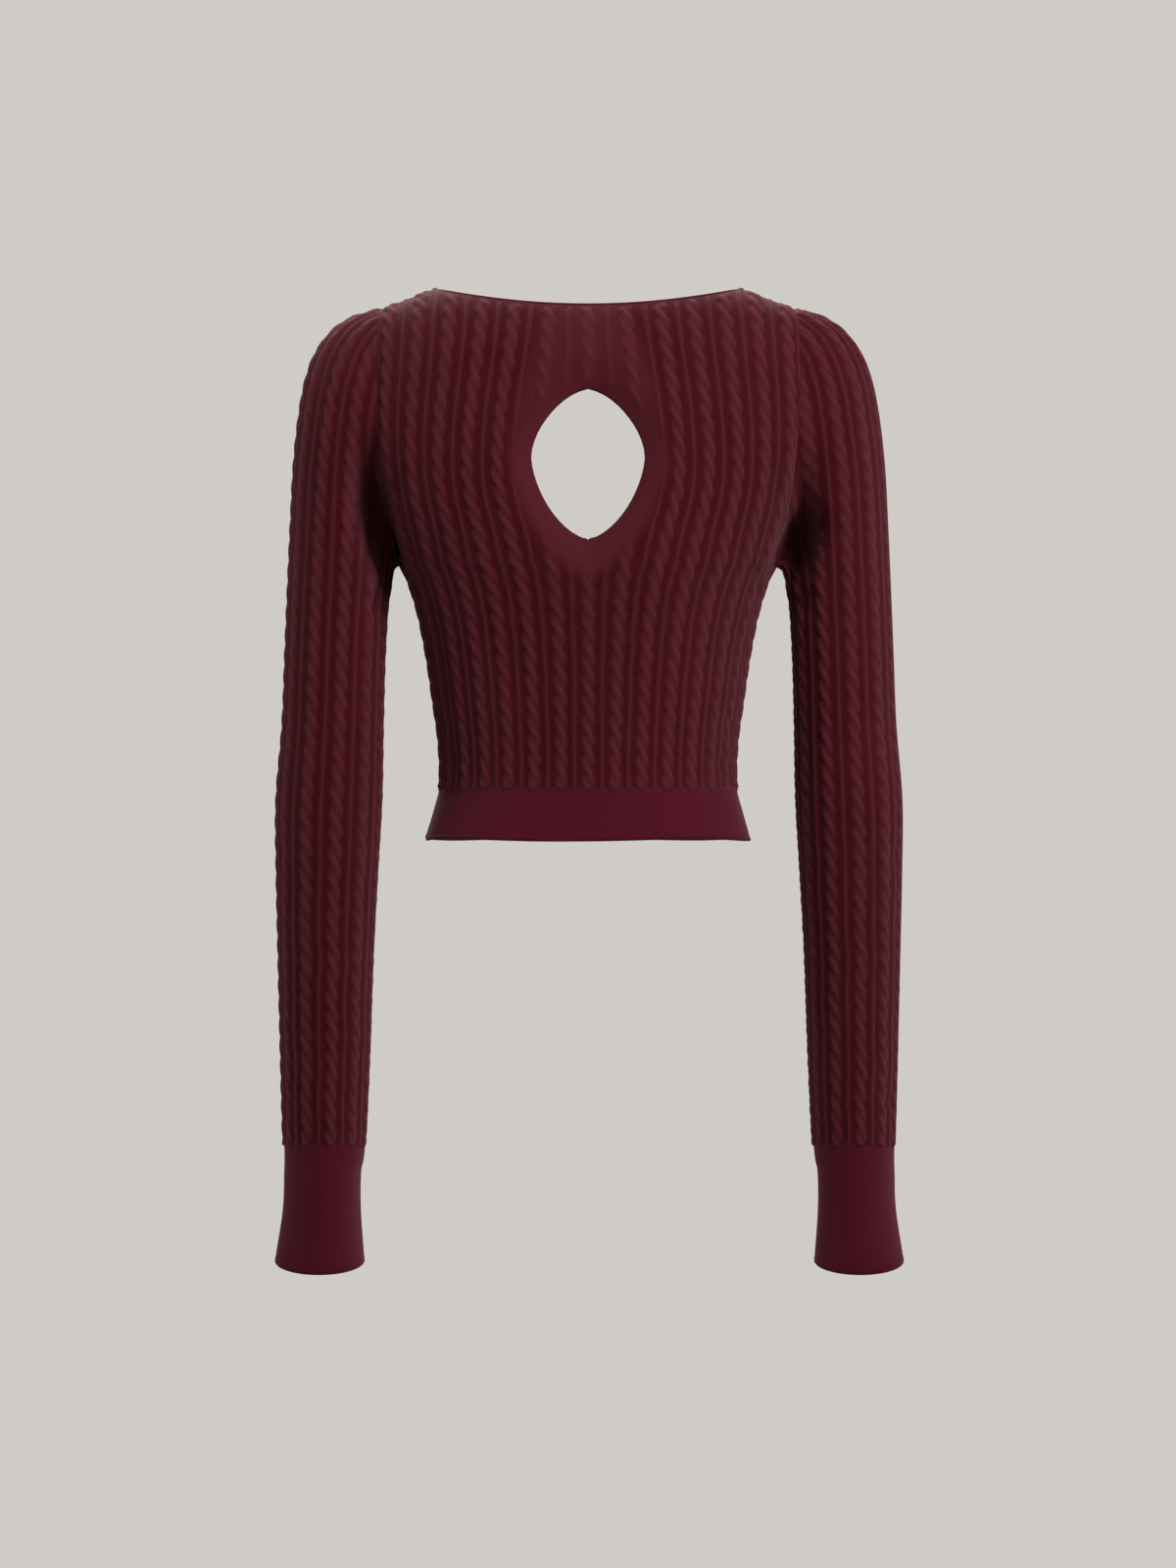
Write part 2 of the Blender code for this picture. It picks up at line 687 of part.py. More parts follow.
def keyhole_edge(wales):
    """The keyhole's edge as a closed loop."""
    rows = []
    for angle in np.linspace(0, 2 * math.pi, KEYHOLE_POINTS, endpoint=False):
        height = KEYHOLE_UP if math.sin(angle) > 0 else KEYHOLE_DOWN
        x = KEYHOLE_HALF_WIDTH * math.copysign(abs(math.cos(angle)) ** (2 / KEYHOLE_POWER), math.cos(angle))
        z = KEYHOLE_Z + height * math.copysign(abs(math.sin(angle)) ** (2 / KEYHOLE_POWER), math.sin(angle))
        point = panel_point(x, z, -1)
        out = panel_normal(x, z, -1)
        rows.append((layout_of(wales, x, z), point, point - out * WALL))
    return rows


def build_panel(name, facing, finish, collection):
    has_keyhole = facing < 0
    wales = panel_wales(facing, has_keyhole)

    def keep(point):
        near_arm = abs(abs(point[0]) - UNDERARM_X) + abs(point[2] - UNDERARM_Z) < UNDERARM_MARGIN
        in_plain = has_keyhole and keyhole_measure(
            point[0], point[2], PLAIN_MARGIN_SIDE, PLAIN_MARGIN_UP, PLAIN_MARGIN_DOWN
        ) < 1
        return not near_arm and not in_plain

    piece = KnitPiece(wales, CHEST_REPEAT, lambda point: np.array([0.0, 0.0, point[2] - 0.02]), keep)
    piece.add_loop(panel_edge(wales, facing))
    if has_keyhole:
        piece.add_loop(keyhole_edge(wales))
    cables = range(-PANEL_HALF_REPEATS + 1, PANEL_HALF_REPEATS)
    ribs = [repeat + 0.5 for repeat in range(-PANEL_HALF_REPEATS, PANEL_HALF_REPEATS)]
    top = max(lengths[-1] for lengths in wales.lengths)
    vertices, faces = piece.build(cables, ribs, crossings_of(top), loop_links(piece.loops), [])
    return add_object(name, vertices, faces, finish, collection)


# ---------------------------------------------------------------- sleeves


def sleeve_edge(wales, side):
    """The sleeve's layout edge, and which of its points meet at the underarm seam."""
    rows, rim = [], []
    middle = SLEEVE_HALF_REPEATS
    repeats = np.linspace(-middle, middle, SLEEVE_HEM_POINTS)
    for repeat in repeats:
        angle = side * repeat * math.pi / middle
        point, out = ring_point(CUFF_RING, angle, side)
        rows.append(((repeat, 0.0), point, point - out * WALL))
    bottom_count = len(rows)
    rim += [(index, index + 1) for index in range(bottom_count - 1)]
    seam_rows = np.linspace(0.0, wales.full_length(middle), SLEEVE_SEAM_POINTS)[1:-1]
    for length in seam_rows:
        point = wales.point(middle, length)
        rows.append(((middle, length), point, point + np.array([side * WALL, 0.0, 0.0])))
    top_start = len(rows)
    for turn in np.linspace(1.0, -1.0, 2 * ARMHOLE_HALF_POINTS - 1):
        angle = side * turn * math.pi
        point, out = ring_point(0, angle, side)
        point = point + np.array([side * SEAM_GAP, 0.0, 0.0])
        repeat = turn * middle
        rows.append(((repeat, wales.full_length(repeat)), point, point - out * WALL))
    top_count = len(rows) - top_start
    rim += [(top_start + index, top_start + index + 1) for index in range(top_count - 1)]
    left_start = len(rows)
    for length in seam_rows[::-1]:
        point = wales.point(-middle, length)
        rows.append(((-middle, length), point, point + np.array([side * WALL, 0.0, 0.0])))
    joined = [(0, bottom_count - 1), (top_start, top_start + top_count - 1)]
    count = len(seam_rows)
    joined += [(bottom_count + index, left_start + count - 1 - index) for index in range(count)]
    return rows, rim, joined


def build_sleeve(name, side, finish, collection):
    wales = sleeve_wales(side)
    stations = np.linspace(0, CUFF_RING, SLEEVE_FINE_RINGS)
    path = np.array([ring_axes(station)[0] for station in stations]) * np.array([side, 1.0, 1.0])

    def centre(point):
        return path[int(np.argmin(np.linalg.norm(path - point, axis=1)))]

    def keep(point):
        gap = abs(abs(point[0]) - UNDERARM_X) + abs(point[2] - UNDERARM_Z)
        return gap > UNDERARM_MARGIN

    piece = KnitPiece(wales, SLEEVE_LAYOUT_REPEAT, centre, keep)
    rows, rim, joined = sleeve_edge(wales, side)
    piece.add_loop(rows)
    cables = [repeat + 0.5 for repeat in range(-SLEEVE_HALF_REPEATS, SLEEVE_HALF_REPEATS)]
    ribs = range(-SLEEVE_HALF_REPEATS + 1, SLEEVE_HALF_REPEATS)
    top = max(lengths[-1] for lengths in wales.lengths)
    crossings = list(np.arange(0.0, top + SLEEVE_PITCH, SLEEVE_PITCH))
    vertices, faces = piece.build(cables, ribs, crossings, rim, joined)
    return add_object(name, vertices, faces, finish, collection)


# ---------------------------------------------------------------- bands, cuffs and neck edge


def wall_between(outer_rows, inner_rows, closed):
    """Closed wall of two matching grids. Rows run up the band, and closed rows join end to end."""
    count = len(outer_rows[0])
    rows = [list(row) for row in outer_rows] + [list(row) for row in reversed(inner_rows)]
    vertices = [point for row in rows for point in row]
    faces = []
    steps = count if closed else count - 1
    for row in range(len(rows)):
        below = row * count
        above = (row + 1) % len(rows) * count
        for index in range(steps):
            right = (index + 1) % count
            faces.append([below + index, below + right, above + right, above + index])
    if not closed:
        faces.append([row * count for row in range(len(rows))])
        faces.append([row * count + count - 1 for row in reversed(range(len(rows)))])
    return vertices, faces


def body_ring(z, facing, inset, count):
    width = float(smooth_table(BODY_FORM, z, 1)) - inset
    depth = float(smooth_table(BODY_FORM, z, 2 if facing < 0 else 3)) - inset
    ring = []
    for angle in np.linspace(-math.pi / 2, math.pi / 2, count):
        x = width * math.copysign(abs(math.sin(angle)) ** (2 / SECTION_POWER), angle)
        y = facing * (depth * abs(math.cos(angle)) ** (2 / SECTION_POWER))
        ring.append(seam_side((x, y, z), facing))
    return ring


def build_hem_band(name, facing, finish, collection):
    levels = np.linspace(HEM_SEAM_Z - SEAM_GAP, HEM_Z, BAND_ROWS)
    outer = [body_ring(z, facing, 0.0, BAND_POINTS) for z in levels]
    inner = [body_ring(z, facing, BAND_WALL, BAND_POINTS) for z in levels]
    vertices, faces = wall_between(outer, inner, False)
    return add_object(name, vertices, faces, finish, collection)


def build_cuff(name, side, finish, collection):
    outer, inner = [], []
    first = ring_axes(CUFF_RING)[0]
    after = ring_axes(CUFF_RING + 1)[0]
    gap = unit(after - first) * SEAM_GAP
    angles = np.linspace(0, 2 * math.pi, CUFF_POINTS, endpoint=False)
    for station in np.linspace(CUFF_RING, len(SLEEVE_RINGS) - 1, CUFF_ROWS):
        ring = [ring_point(station, angle, side) for angle in angles]
        shift = gap if station == CUFF_RING else np.zeros(3)
        outer.append([point + shift for point, out in ring])
        inner.append([point + shift - out * BAND_WALL for point, out in ring])
    vertices, faces = wall_between(outer, inner, True)
    return add_object(name, vertices, faces, finish, collection)


def neck_line():
    """Middle of the neck edge all round, with the direction out of the cloth at each point."""
    rows = []
    for facing, count in ((-1, NECK_EDGE_BACK_POINTS), (1, NECK_EDGE_FRONT_POINTS)):
        shares = np.linspace(1.0, -1.0, count + 1)[:-1]
        for share in shares:
            x = NECK_HALF_WIDTH * share * -facing
            top = neck_height(x, facing)
            z = top - NECK_EDGE_HEIGHT / 2
            point = panel_point(x, min(z, wales_top(x) - 0.0010), facing)
            out = panel_normal(x, point[2], facing)
            if abs(share) > 0.999:
                point = np.array([x, 0.0, -0.0022])
                out = np.array([0.0, 0.0, 1.0])
            rows.append((point, out))
    return rows


def build_neck_edge(name, finish, collection):
    rows = neck_line()
    count = len(rows)
    rings = []
    for index in range(count):
        point, out = rows[index]
        along = unit(rows[(index + 1) % count][0] - rows[index - 1][0])
        out = unit(out - along * float(np.dot(out, along)))
        up = np.cross(along, out)
        ring = []
        for side in range(NECK_SIDES):
            angle = 2 * math.pi * side / NECK_SIDES
            ring.append(
                point - out * WALL / 2
                + up * (NECK_EDGE_HEIGHT / 2 * math.cos(angle))
                + out * (NECK_EDGE_THICKNESS / 2 * math.sin(angle))
            )
        rings.append(ring)
    vertices = [point for ring in rings for point in ring]
    faces = []
    for index in range(count):
        here, there = index * NECK_SIDES, (index + 1) % count * NECK_SIDES
        for side in range(NECK_SIDES):
            turn = (side + 1) % NECK_SIDES
            faces.append([here + side, here + turn, there + turn, there + side])
    return add_object(name, vertices, faces, finish, collection)


def main():
    clear_scene()
    collection = bpy.data.collections.new(COLLECTION_NAME)
    bpy.context.scene.collection.children.link(collection)
    cable_knit = material("cable_knit", CABLE_COLOUR)
    smooth_knit = material("smooth_knit", SMOOTH_COLOUR)
    build_panel("back_panel", -1, cable_knit, collection)
    build_panel("front_panel", 1, cable_knit, collection)
    build_hem_band("back_hem_band", -1, smooth_knit, collection)
    build_hem_band("front_hem_band", 1, smooth_knit, collection)
    for name, side in (("left", -1), ("right", 1)):
        build_sleeve(name + "_sleeve", side, cable_knit, collection)
        build_cuff(name + "_cuff", side, smooth_knit, collection)
    build_neck_edge("neck_edge", smooth_knit, collection)


main()
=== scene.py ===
"""Cropped cable-knit sweater, filled out as it is worn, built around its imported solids.

The frame is the solids' own: metres, +Z up, the wearer faces +Y, and the back with its keyhole
faces -Y. Left and right are the wearer's, so the left sleeve is at -X. Every knitted piece is a
closed wall of fine quads whose outer side carries the cables and ribs. The stitches, finer than
the quads, are bump in the finishes, laid out by each piece's own map of the knit in metres.
"""

import math

import bmesh
import bpy
import numpy as np
from bpy.props import FloatProperty, FloatVectorProperty, PointerProperty
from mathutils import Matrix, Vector


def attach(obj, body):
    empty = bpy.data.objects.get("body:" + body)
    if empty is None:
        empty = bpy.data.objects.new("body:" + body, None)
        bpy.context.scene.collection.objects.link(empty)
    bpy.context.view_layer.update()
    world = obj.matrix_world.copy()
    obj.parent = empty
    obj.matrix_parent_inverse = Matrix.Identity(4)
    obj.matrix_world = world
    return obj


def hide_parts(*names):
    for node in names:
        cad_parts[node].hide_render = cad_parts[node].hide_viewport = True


bl_info = {
    "name": "Cropped cable-knit sweater",
    "version": (1, 0, 0),
    "blender": (4, 5, 0),
    "location": "View3D > Sidebar > Sweater",
    "description": "Builds a cropped cable-knit sweater with a keyhole back around its packed solids",
    "category": "Add Mesh",
}

BODY = "root"

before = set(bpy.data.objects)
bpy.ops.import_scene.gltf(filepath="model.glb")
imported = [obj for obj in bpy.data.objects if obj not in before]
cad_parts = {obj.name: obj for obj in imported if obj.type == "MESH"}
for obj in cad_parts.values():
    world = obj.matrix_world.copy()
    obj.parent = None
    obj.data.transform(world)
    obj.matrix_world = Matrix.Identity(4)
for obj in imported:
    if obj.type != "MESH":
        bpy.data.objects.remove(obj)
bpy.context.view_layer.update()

# A length or share too small to matter, and how near two points are merged
TINY = 1e-6
MERGE_DISTANCE = 2e-6

# ---------------------------------------------------------------- the sweater's measures

SHOULDER_END_Z = -0.0150
UNDERARM_Z = -0.2002
HEM_SEAM_Z = -0.3635
HEM_Z = -0.3990
FRONT_NECK_Z = -0.1990
BACK_NECK_Z = -0.0103
NECK_CORNER_Z = 0.0022
NECK_HALF_WIDTH = 0.1090
NECK_CORNER_X = 0.1110
SHOULDER_ROUNDING = 0.0600
SECTION_POWER = 2.3
SECTION_REACH = 0.97
ARMHOLE_REACH = 0.9995
SEAM_LAP = 0.0003
SHOULDER_CUT = 0.0012
SHOULDER_END_GAP = 0.0010
FORM_TOP_Z = 0.0060

# The body's form: height, half width at the side seams, half depth behind, half depth in front
BODY_FORM = (
    (-0.3990, 0.1178, 0.0900, 0.0900),
    (-0.3810, 0.1128, 0.0872, 0.0872),
    (-0.3605, 0.1075, 0.0850, 0.0850),
    (-0.3300, 0.1075, 0.0845, 0.0850),
    (-0.3000, 0.1115, 0.0865, 0.0880),
    (-0.2600, 0.1175, 0.0905, 0.0950),
    (-0.2300, 0.1240, 0.0950, 0.1030),
    (-0.2120, 0.1299, 0.0975, 0.1065),
    (-0.2062, 0.1322, 0.0984, 0.1074),
    (-0.2002, 0.1360, 0.0990, 0.1080),
    (-0.1500, 0.1360, 0.0985, 0.1080),
    (-0.1000, 0.1360, 0.0915, 0.0960),
    (-0.0500, 0.1360, 0.0780, 0.0790),
    (0.0060, 0.1360, 0.0620, 0.0620),
)

# The shoulder line's height at a distance from the centre line
SHOULDER_LINE = (
    (0.0000, 0.0056),
    (0.0800, 0.0046),
    (0.1090, 0.0006),
    (0.1250, -0.0053),
    (0.1500, -0.0150),
    (0.2000, -0.0400),
)

# The sleeve's rings, armhole to cuff end: outer point x and z, inner point x and z, half depth,
# how far the ring's middle stands forward, and how far its front and back bow outwards
SLEEVE_RINGS = (
    (0.1500, -0.0150, 0.1360, -0.2002, 0.0540, 0.000, 0.0075),
    (0.1690, -0.0205, 0.1378, -0.2007, 0.0535, 0.000, 0.0068),
    (0.1840, -0.0300, 0.1392, -0.2016, 0.0528, 0.000, 0.0058),
    (0.1965, -0.0465, 0.1402, -0.2028, 0.0518, 0.000, 0.0046),
    (0.2040, -0.0670, 0.1409, -0.2046, 0.0506, 0.000, 0.0034),
    (0.2090, -0.0950, 0.1415, -0.2074, 0.0492, 0.000, 0.0022),
    (0.2125, -0.1300, 0.1422, -0.2119, 0.0476, 0.000, 0.0012),
    (0.2145, -0.1700, 0.1431, -0.2192, 0.0461, 0.000, 0.0004),
    (0.2165, -0.2150, 0.1452, -0.2330, 0.0446, 0.000, 0.0000),
    (0.2185, -0.2650, 0.1473, -0.2710, 0.0431, 0.000, 0.0000),
    (0.2205, -0.3150, 0.1485, -0.3170, 0.0416, 0.001, 0.0000),
    (0.2250, -0.3700, 0.1495, -0.3700, 0.0405, 0.004, 0.0000),
    (0.2250, -0.4200, 0.1525, -0.4200, 0.0390, 0.010, 0.0000),
    (0.2240, -0.4800, 0.1560, -0.4800, 0.0368, 0.021, 0.0000),
    (0.2228, -0.5500, 0.1588, -0.5500, 0.0342, 0.038, 0.0000),
    (0.2215, -0.6228, 0.1626, -0.6228, 0.0310, 0.058, 0.0000),
    (0.2215, -0.6420, 0.1652, -0.6420, 0.0300, 0.063, 0.0000),
    (0.2228, -0.6700, 0.1656, -0.6700, 0.0298, 0.0715, 0.0000),
    (0.2292, -0.7080, 0.1634, -0.7080, 0.0312, 0.0830, 0.0000),
)
CUFF_RING = 15
CUFF_END_RING = 18
RING_LEAN_STEP = 0.05

# Above this height and about this ring the sleeve's wales stop following the rings
CAP_START_Z = -0.2350
CAP_BLEND_RING = 8.4
CAP_BLEND = 1.8

# The least rounding of the cap's depth at its top
CAP_LEAST_ROUNDING = 0.0004

# The seam between sleeve and cuff runs level, though the rings lean with the forearm
CUFF_SEAM_SLANT = 0.18
CUFF_SEAM_REACH = 1.2
CUFF_END_GAP = 0.02

# The right sleeve hangs a little further out than the left
RIGHT_HANG = 0.0020
HANG_RINGS = 7.0

# Keyhole: a rounded lozenge, the plain margin knitted round it, and how it spreads the wales
KEYHOLE_Z = -0.1225
KEYHOLE_HALF_WIDTH = 0.0416
KEYHOLE_UP = 0.0502
KEYHOLE_DOWN = 0.0612
KEYHOLE_POWER = 1.63
KEYHOLE_POWER_ABOVE = 1.64
PLAIN_MARGIN_SIDE = 0.0080
PLAIN_MARGIN_UP = -0.0030
PLAIN_MARGIN_DOWN = 0.0130
PLAIN_MARGIN_FADE = 0.24
PLAIN_TONE = 0.60
# Above the keyhole the painted valley shade is lightened, up to this height over it
PALE_MARGIN_UP = 0.0600
PALE_TONE = 0.32
KEYHOLE_SINK = 0.0120
KEYHOLE_SINK_START = 0.75
KEYHOLE_SINK_REACH = 0.40
KEYHOLE_PUSH = 0.0190
KEYHOLE_PUSH_Z = -0.1315
KEYHOLE_PUSH_ABOVE = 0.1000
KEYHOLE_PUSH_BELOW = 0.0560
KEYHOLE_FREE_REPEATS = 1.5
KEYHOLE_PUSH_REACH = 10.0

# Knit layout: repeats of one cable and one rib, the cables' crossing pitch, and by how much of a
# repeat each sleeve's knit is shifted round it
PANEL_HALF_REPEATS = 8
SLEEVE_REPEATS = 11
SLEEVE_REPEAT = 0.0200
CHEST_REPEAT = 0.0238
PITCH_LOW = 0.0142
PITCH_HIGH = 0.0165
PITCH_CHANGE_LENGTH = 0.330
LONGEST_WALE = 0.5
SLEEVE_PITCH = 0.0152
WIDEST_SLEEVE_REPEAT = 1.25 * SLEEVE_REPEAT
SLEEVE_SHIFT = {-1: 0.0, 1: 0.5}

# A cable's two strands and the rib, as shares of a repeat
STRAND_SWING = 0.104
STRAND_RADIUS = 0.132
BACK_STRAND = 0.24
RIB_RADIUS = 0.078
ROPE_REACH = 0.30
ROPE_LEAST_HEIGHT = 0.0002

# Cables and ribs end a little before each seam, where the cloth rises to meet its neighbour
SEAM_FADE = 0.0016
SEAM_RISE = 0.0006
SHOULDER_FADE = 0.0080
HEM_FADE = 0.0035

# Tone of the painted shade where no cable or rib sets it: 0 is the painted valley shade, 1 the yarn's
# colour
SEAM_TONE = 0.6
INNER_TONE = 0.6
# The neckline's edge and the cloth just under it are painted dark, as painted shadow
NECK_SHADE_TONE = 0.15
BAND_TONE = 0.75
BAND_TONE_DROP = 0.2

# Neckline and the narrow edge round it
V_CURVE = 1.4
BACK_NECK_POWER = 2.05
NECK_EDGE_HEIGHT = 0.0036
NECK_EDGE_THICKNESS = 0.0030
NECK_EDGE_DEPTH = 0.75
NECK_EDGE_GIRTH = 3.0 * NECK_EDGE_HEIGHT
NECK_LAP = 0.0010
NECK_CALMING = 8
CORNER_STEPS = 12
CORNER_REACH = 0.014
EDGE_STEP = 0.0004
V_POINT_DROP = 1.6
NECK_CUT_POINTS = 160
NECK_CUT_CROWDING = 1.6

# Free ends of the hem bands and cuffs: a small roll and the groove over it, each as height over the end,
# half width and rise, then the painted shade along the end and the finer rows there
END_ROLLS = ((0.0012, 0.0011, 0.0002), (0.0034, 0.0008, -0.00014))
END_ROUND = 0.35
END_SHADE = 0.75
END_SHADE_HEIGHT = 0.0028
END_SHARE = 0.14
END_ROWS = 12
END_ROUND_STEPS = 6
CUFF_LENGTH = 0.088
HEM_HEIGHT = HEM_SEAM_Z - HEM_Z
HEM_GAP = 0.0006

# Unevenness of the hem bands and cuffs: size, waves in a turn's angle, and how far up it reaches
HEM_RIPPLE = (0.00035, 9.0, 0.012)
HEM_RIPPLE_RISE = 30.0
HEM_WAVE = (0.0008, 4.0, 0.010)
CUFF_FOLD = (0.0006, 3.0)
CUFF_FOLD_START = 0.6

# How finely the pieces are meshed. An inner side has one row and column for each COARSE outside.
COARSE = 4
PANEL_COLUMNS = 120
BACK_ROWS = (132, 16, 92, 64)
BACK_OPEN_ROWS = (148, 240)
FRONT_ROWS = (128, 176)
FRONT_OPEN_ROWS = (128, 304)
SLEEVE_COLUMNS = 208
SLEEVE_ROWS = 440
HEM_ROWS, HEM_COLUMNS = 37, 220
CUFF_ROWS, CUFF_COLUMNS = 69, 176
STATION_STEPS = 1200
STATION_LINES = 8
LINE_STEPS = 2000
NECK_EDGE_STEPS = 1100
NECK_EDGE_SIDES = 14

# How finely a panel's form is measured: heights, with more at the tips, and steps along each
LEVEL_STEP = 0.0012
TIP_REACH = 0.0018
TIP_LEVELS = 17
SECTION_STEPS = 240
ARC_STEPS = 400
WALE_STEPS = 64
FLOW_STEPS = 500
FLOW_CROWDING = 1.5
EDGE_FLOW_POWER = 6
TOP_TRIES = 30
ROW_STEPS = 12
CALM_STEP = 0.001
CALM_REACH = 22.0
CALM_STEPS = 60

# Soft creases, as if on the +X side: middle, direction along it, half length, half width and
# depth. A depth above 0 is a trough and one below 0 a ridge.
BACK_CREASES = (
    ((0.126, -0.030, -0.222), (-0.80, 0.0, 0.60), 0.030, 0.0060, 0.0024),
    ((0.120, -0.045, -0.240), (-0.85, 0.0, 0.52), 0.034, 0.0070, -0.0016),
    ((0.106, -0.040, -0.318), (-0.90, 0.0, 0.30), 0.026, 0.0060, 0.0014),
    ((0.103, -0.045, -0.344), (-0.95, 0.0, 0.12), 0.024, 0.0055, 0.0012),
    ((0.143, -0.062, -0.160), (-0.35, 0.0, 0.93), 0.034, 0.0070, 0.0018),
    ((0.000, -0.099, -0.191), (0.0, 0.0, 1.0), 0.011, 0.0022, 0.0014),
)
FRONT_CREASES = (
    ((0.126, 0.032, -0.222), (-0.80, 0.0, 0.60), 0.032, 0.0065, 0.0024),
    ((0.118, 0.050, -0.244), (-0.85, 0.0, 0.50), 0.034, 0.0070, -0.0016),
    ((0.106, 0.042, -0.322), (-0.92, 0.0, 0.25), 0.028, 0.0060, 0.0014),
    ((0.140, 0.066, -0.155), (-0.40, 0.0, 0.90), 0.036, 0.0075, 0.0018),
)
SLEEVE_CREASES = (
    ((0.150, -0.030, -0.232), (0.80, 0.0, 0.60), 0.036, 0.0075, 0.0026),
    ((0.150, 0.030, -0.236), (0.80, 0.0, 0.58), 0.036, 0.0075, 0.0024),
    ((0.152, 0.034, -0.388), (0.86, 0.0, 0.50), 0.032, 0.0070, 0.0022),
    ((0.152, 0.036, -0.412), (0.92, 0.0, 0.38), 0.034, 0.0070, -0.0012),
    ((0.170, 0.046, -0.436), (0.95, 0.0, -0.18), 0.030, 0.0065, 0.0018),
    ((0.214, -0.010, -0.404), (-0.75, 0.0, 0.66), 0.030, 0.0080, 0.0014),
    ((0.160, 0.012, -0.596), (0.90, 0.0, 0.44), 0.026, 0.0060, 0.0014),
    ((0.216, 0.030, -0.588), (-0.90, 0.0, 0.40), 0.024, 0.0060, 0.0012),
)

# Folds where a sleeve and the body turn in towards each other: middle, direction, half length,
# both half widths, towards the body and the sleeve, and depth, as if on the +X side behind. They
# push forwards, and in front backwards, by no more than these shares of the distance from the
# sleeve's middle plane, so the two sides never meet.
FOLD_REACH_BEHIND = 1.35
FOLD_REACH_IN_FRONT = 0.60
ARMHOLE_FOLDS = {
    -1: (
        ((0.1540, -0.0490, -0.1430), (-0.20, 0.15, -0.97), 0.026, (0.0085, 0.0110), 0.0240),
        ((0.1462, -0.0360, -0.1790), (-0.22, 0.40, -0.90), 0.030, (0.0080, 0.0130), 0.1400),
        ((0.1390, -0.0160, -0.2020), (-0.22, 0.40, -0.90), 0.010, (0.0060, 0.0100), 0.1200),
    ),
    1: (
        ((0.1540, -0.0490, -0.1480), (-0.15, 0.20, -0.97), 0.028, (0.0085, 0.0110), 0.0110),
        ((0.1470, -0.0340, -0.1880), (-0.34, 0.42, -0.84), 0.023, (0.0085, 0.0130), 0.1300),
        ((0.1390, -0.0160, -0.2040), (-0.34, 0.42, -0.84), 0.010, (0.0060, 0.0100), 0.1200),
    ),
}

# The wales of the lower sleeve wander a little: share of a repeat, how far up from the cuff,
# and each wave's size, pitch and turns round the sleeve
SWAY = 0.020
SWAY_START = 0.020
SWAY_END = 0.280
SWAY_WAVES = ((1.0, 0.071, 1), (0.7, 0.043, -2))

# Each kind of cloth piece: width, length and area of its whole cut, how it is held, and its slot
CUTS = {
    "back_panel": (0.381, 0.380, 0.115, "hung", "cable_knit"),
    "front_panel": (0.395, 0.395, 0.096, "hung", "cable_knit"),
    "sleeve": (0.300, 0.640, 0.132, "hung", "cable_knit"),
    "hem_band": (0.325, 0.0355, 0.325 * 0.0355, "stretched", "smooth_knit"),
    "cuff": (0.190, 0.085, 0.190 * 0.085, "stretched", "smooth_knit"),
    "neck_edge": (0.0100, 0.900, 0.0054, "stretched", "smooth_knit"),
}

# Yarn of each slot: its colour, how large its stitches are, their bump, and how deep the painted shade
# between them is
YARNS = {
    "cable_knit": ("cable", 1.0, 0.00030, 0.35),
    "smooth_knit": ("smooth", 0.8, 0.00020, 0.30),
}

# One V stitch: its slant and how round its yarn and its column are
STITCH_SLANT = 0.55
YARN_POWER = 2.6
COLUMN_POWER = 5.0

# The yarn's tones: painted valley shade, painted shade deep between the stitches, washed in broad patches,
# and pale where it is fuzzy, the fuzz kept to the raised yarn as partly a painted highlight
GROUND_POWER = 0.7
GAP_SHADE_TONE = 0.7
WASH_SHARE = 0.25
WASH_TONE = 1.10
FUZZ_HIGHLIGHT_SHARE = 0.22
FUZZ_HIGHLIGHT_TONE = 1.8

# The yarn's bump, roughness and soft sheen
STITCH_BUMP = 0.85
FIBRE_BUMP = 0.35
BUMP_STRENGTH = 0.75
LEAST_ROUGHNESS = 0.80
ROUGHNESS_RANGE = 0.15
YARN_SHEEN = {
    "Specular IOR Level": 0.04,
    "Sheen Weight": 0.08,
    "Sheen Roughness": 0.50,
    "Sheen Tint": (0.95, 0.40, 0.48, 1.0),
}

# The floor, which fades out between two shares of its radius, and the camera
FLOOR_Z = -1.40
FLOOR_RADIUS = 1.50
FLOOR_SIDES = 96
FLOOR_FADE = (0.35, 0.98)
FLOOR_TONES = (0.54, 0.51)
FLOOR_CLOUDS = 0.4
CAMERA_DISTANCE = 8.5
CAMERA_Z = -0.3586
VIEW_HEIGHT = 1.136
SENSOR = 36.0
CLIP_END = 50.0

# Soft lights: the setting with their power, place, aim, size and colour
LIGHTS = {
    "key_light": ("key_power", (2.0, -2.9, 2.1), (0.0, 0.0, -0.35), 1.4, (1.0, 0.97, 0.95)),
    "rim_light": ("rim_power", (-0.3, 3.0, 2.3), (0.0, 0.0, -0.30), 2.0, (1.0, 0.98, 0.97)),
    "side_light": ("side_power", (-3.2, 0.5, 0.9), (-0.15, 0.0, -0.35), 1.2, (1.0, 0.97, 0.96)),
}


# ---------------------------------------------------------------- curves and vectors


def smooth_table(rows, at, column):
    """A smooth curve through one column of a table whose first column rises."""
    keys = np.array([row[0] for row in rows])
    values = np.array([row[column] for row in rows])
    slopes = np.gradient(values, keys)
    at = np.clip(np.asarray(at, float), keys[0], keys[-1])
    left = np.clip(np.searchsorted(keys, at, side="right") - 1, 0, len(keys) - 2)
    width = keys[left + 1] - keys[left]
    share = (at - keys[left]) / width
    start = values[left] * (1 + 2 * share) * (1 - share) ** 2
    end = values[left + 1] * share**2 * (3 - 2 * share)
    bend = slopes[left] * share * (1 - share) ** 2 - slopes[left + 1] * share**2 * (1 - share)
    return start + end + width * bend


def unit(vectors):
    lengths = np.linalg.norm(vectors, axis=-1, keepdims=True)
    return vectors / np.maximum(lengths, 1e-12)


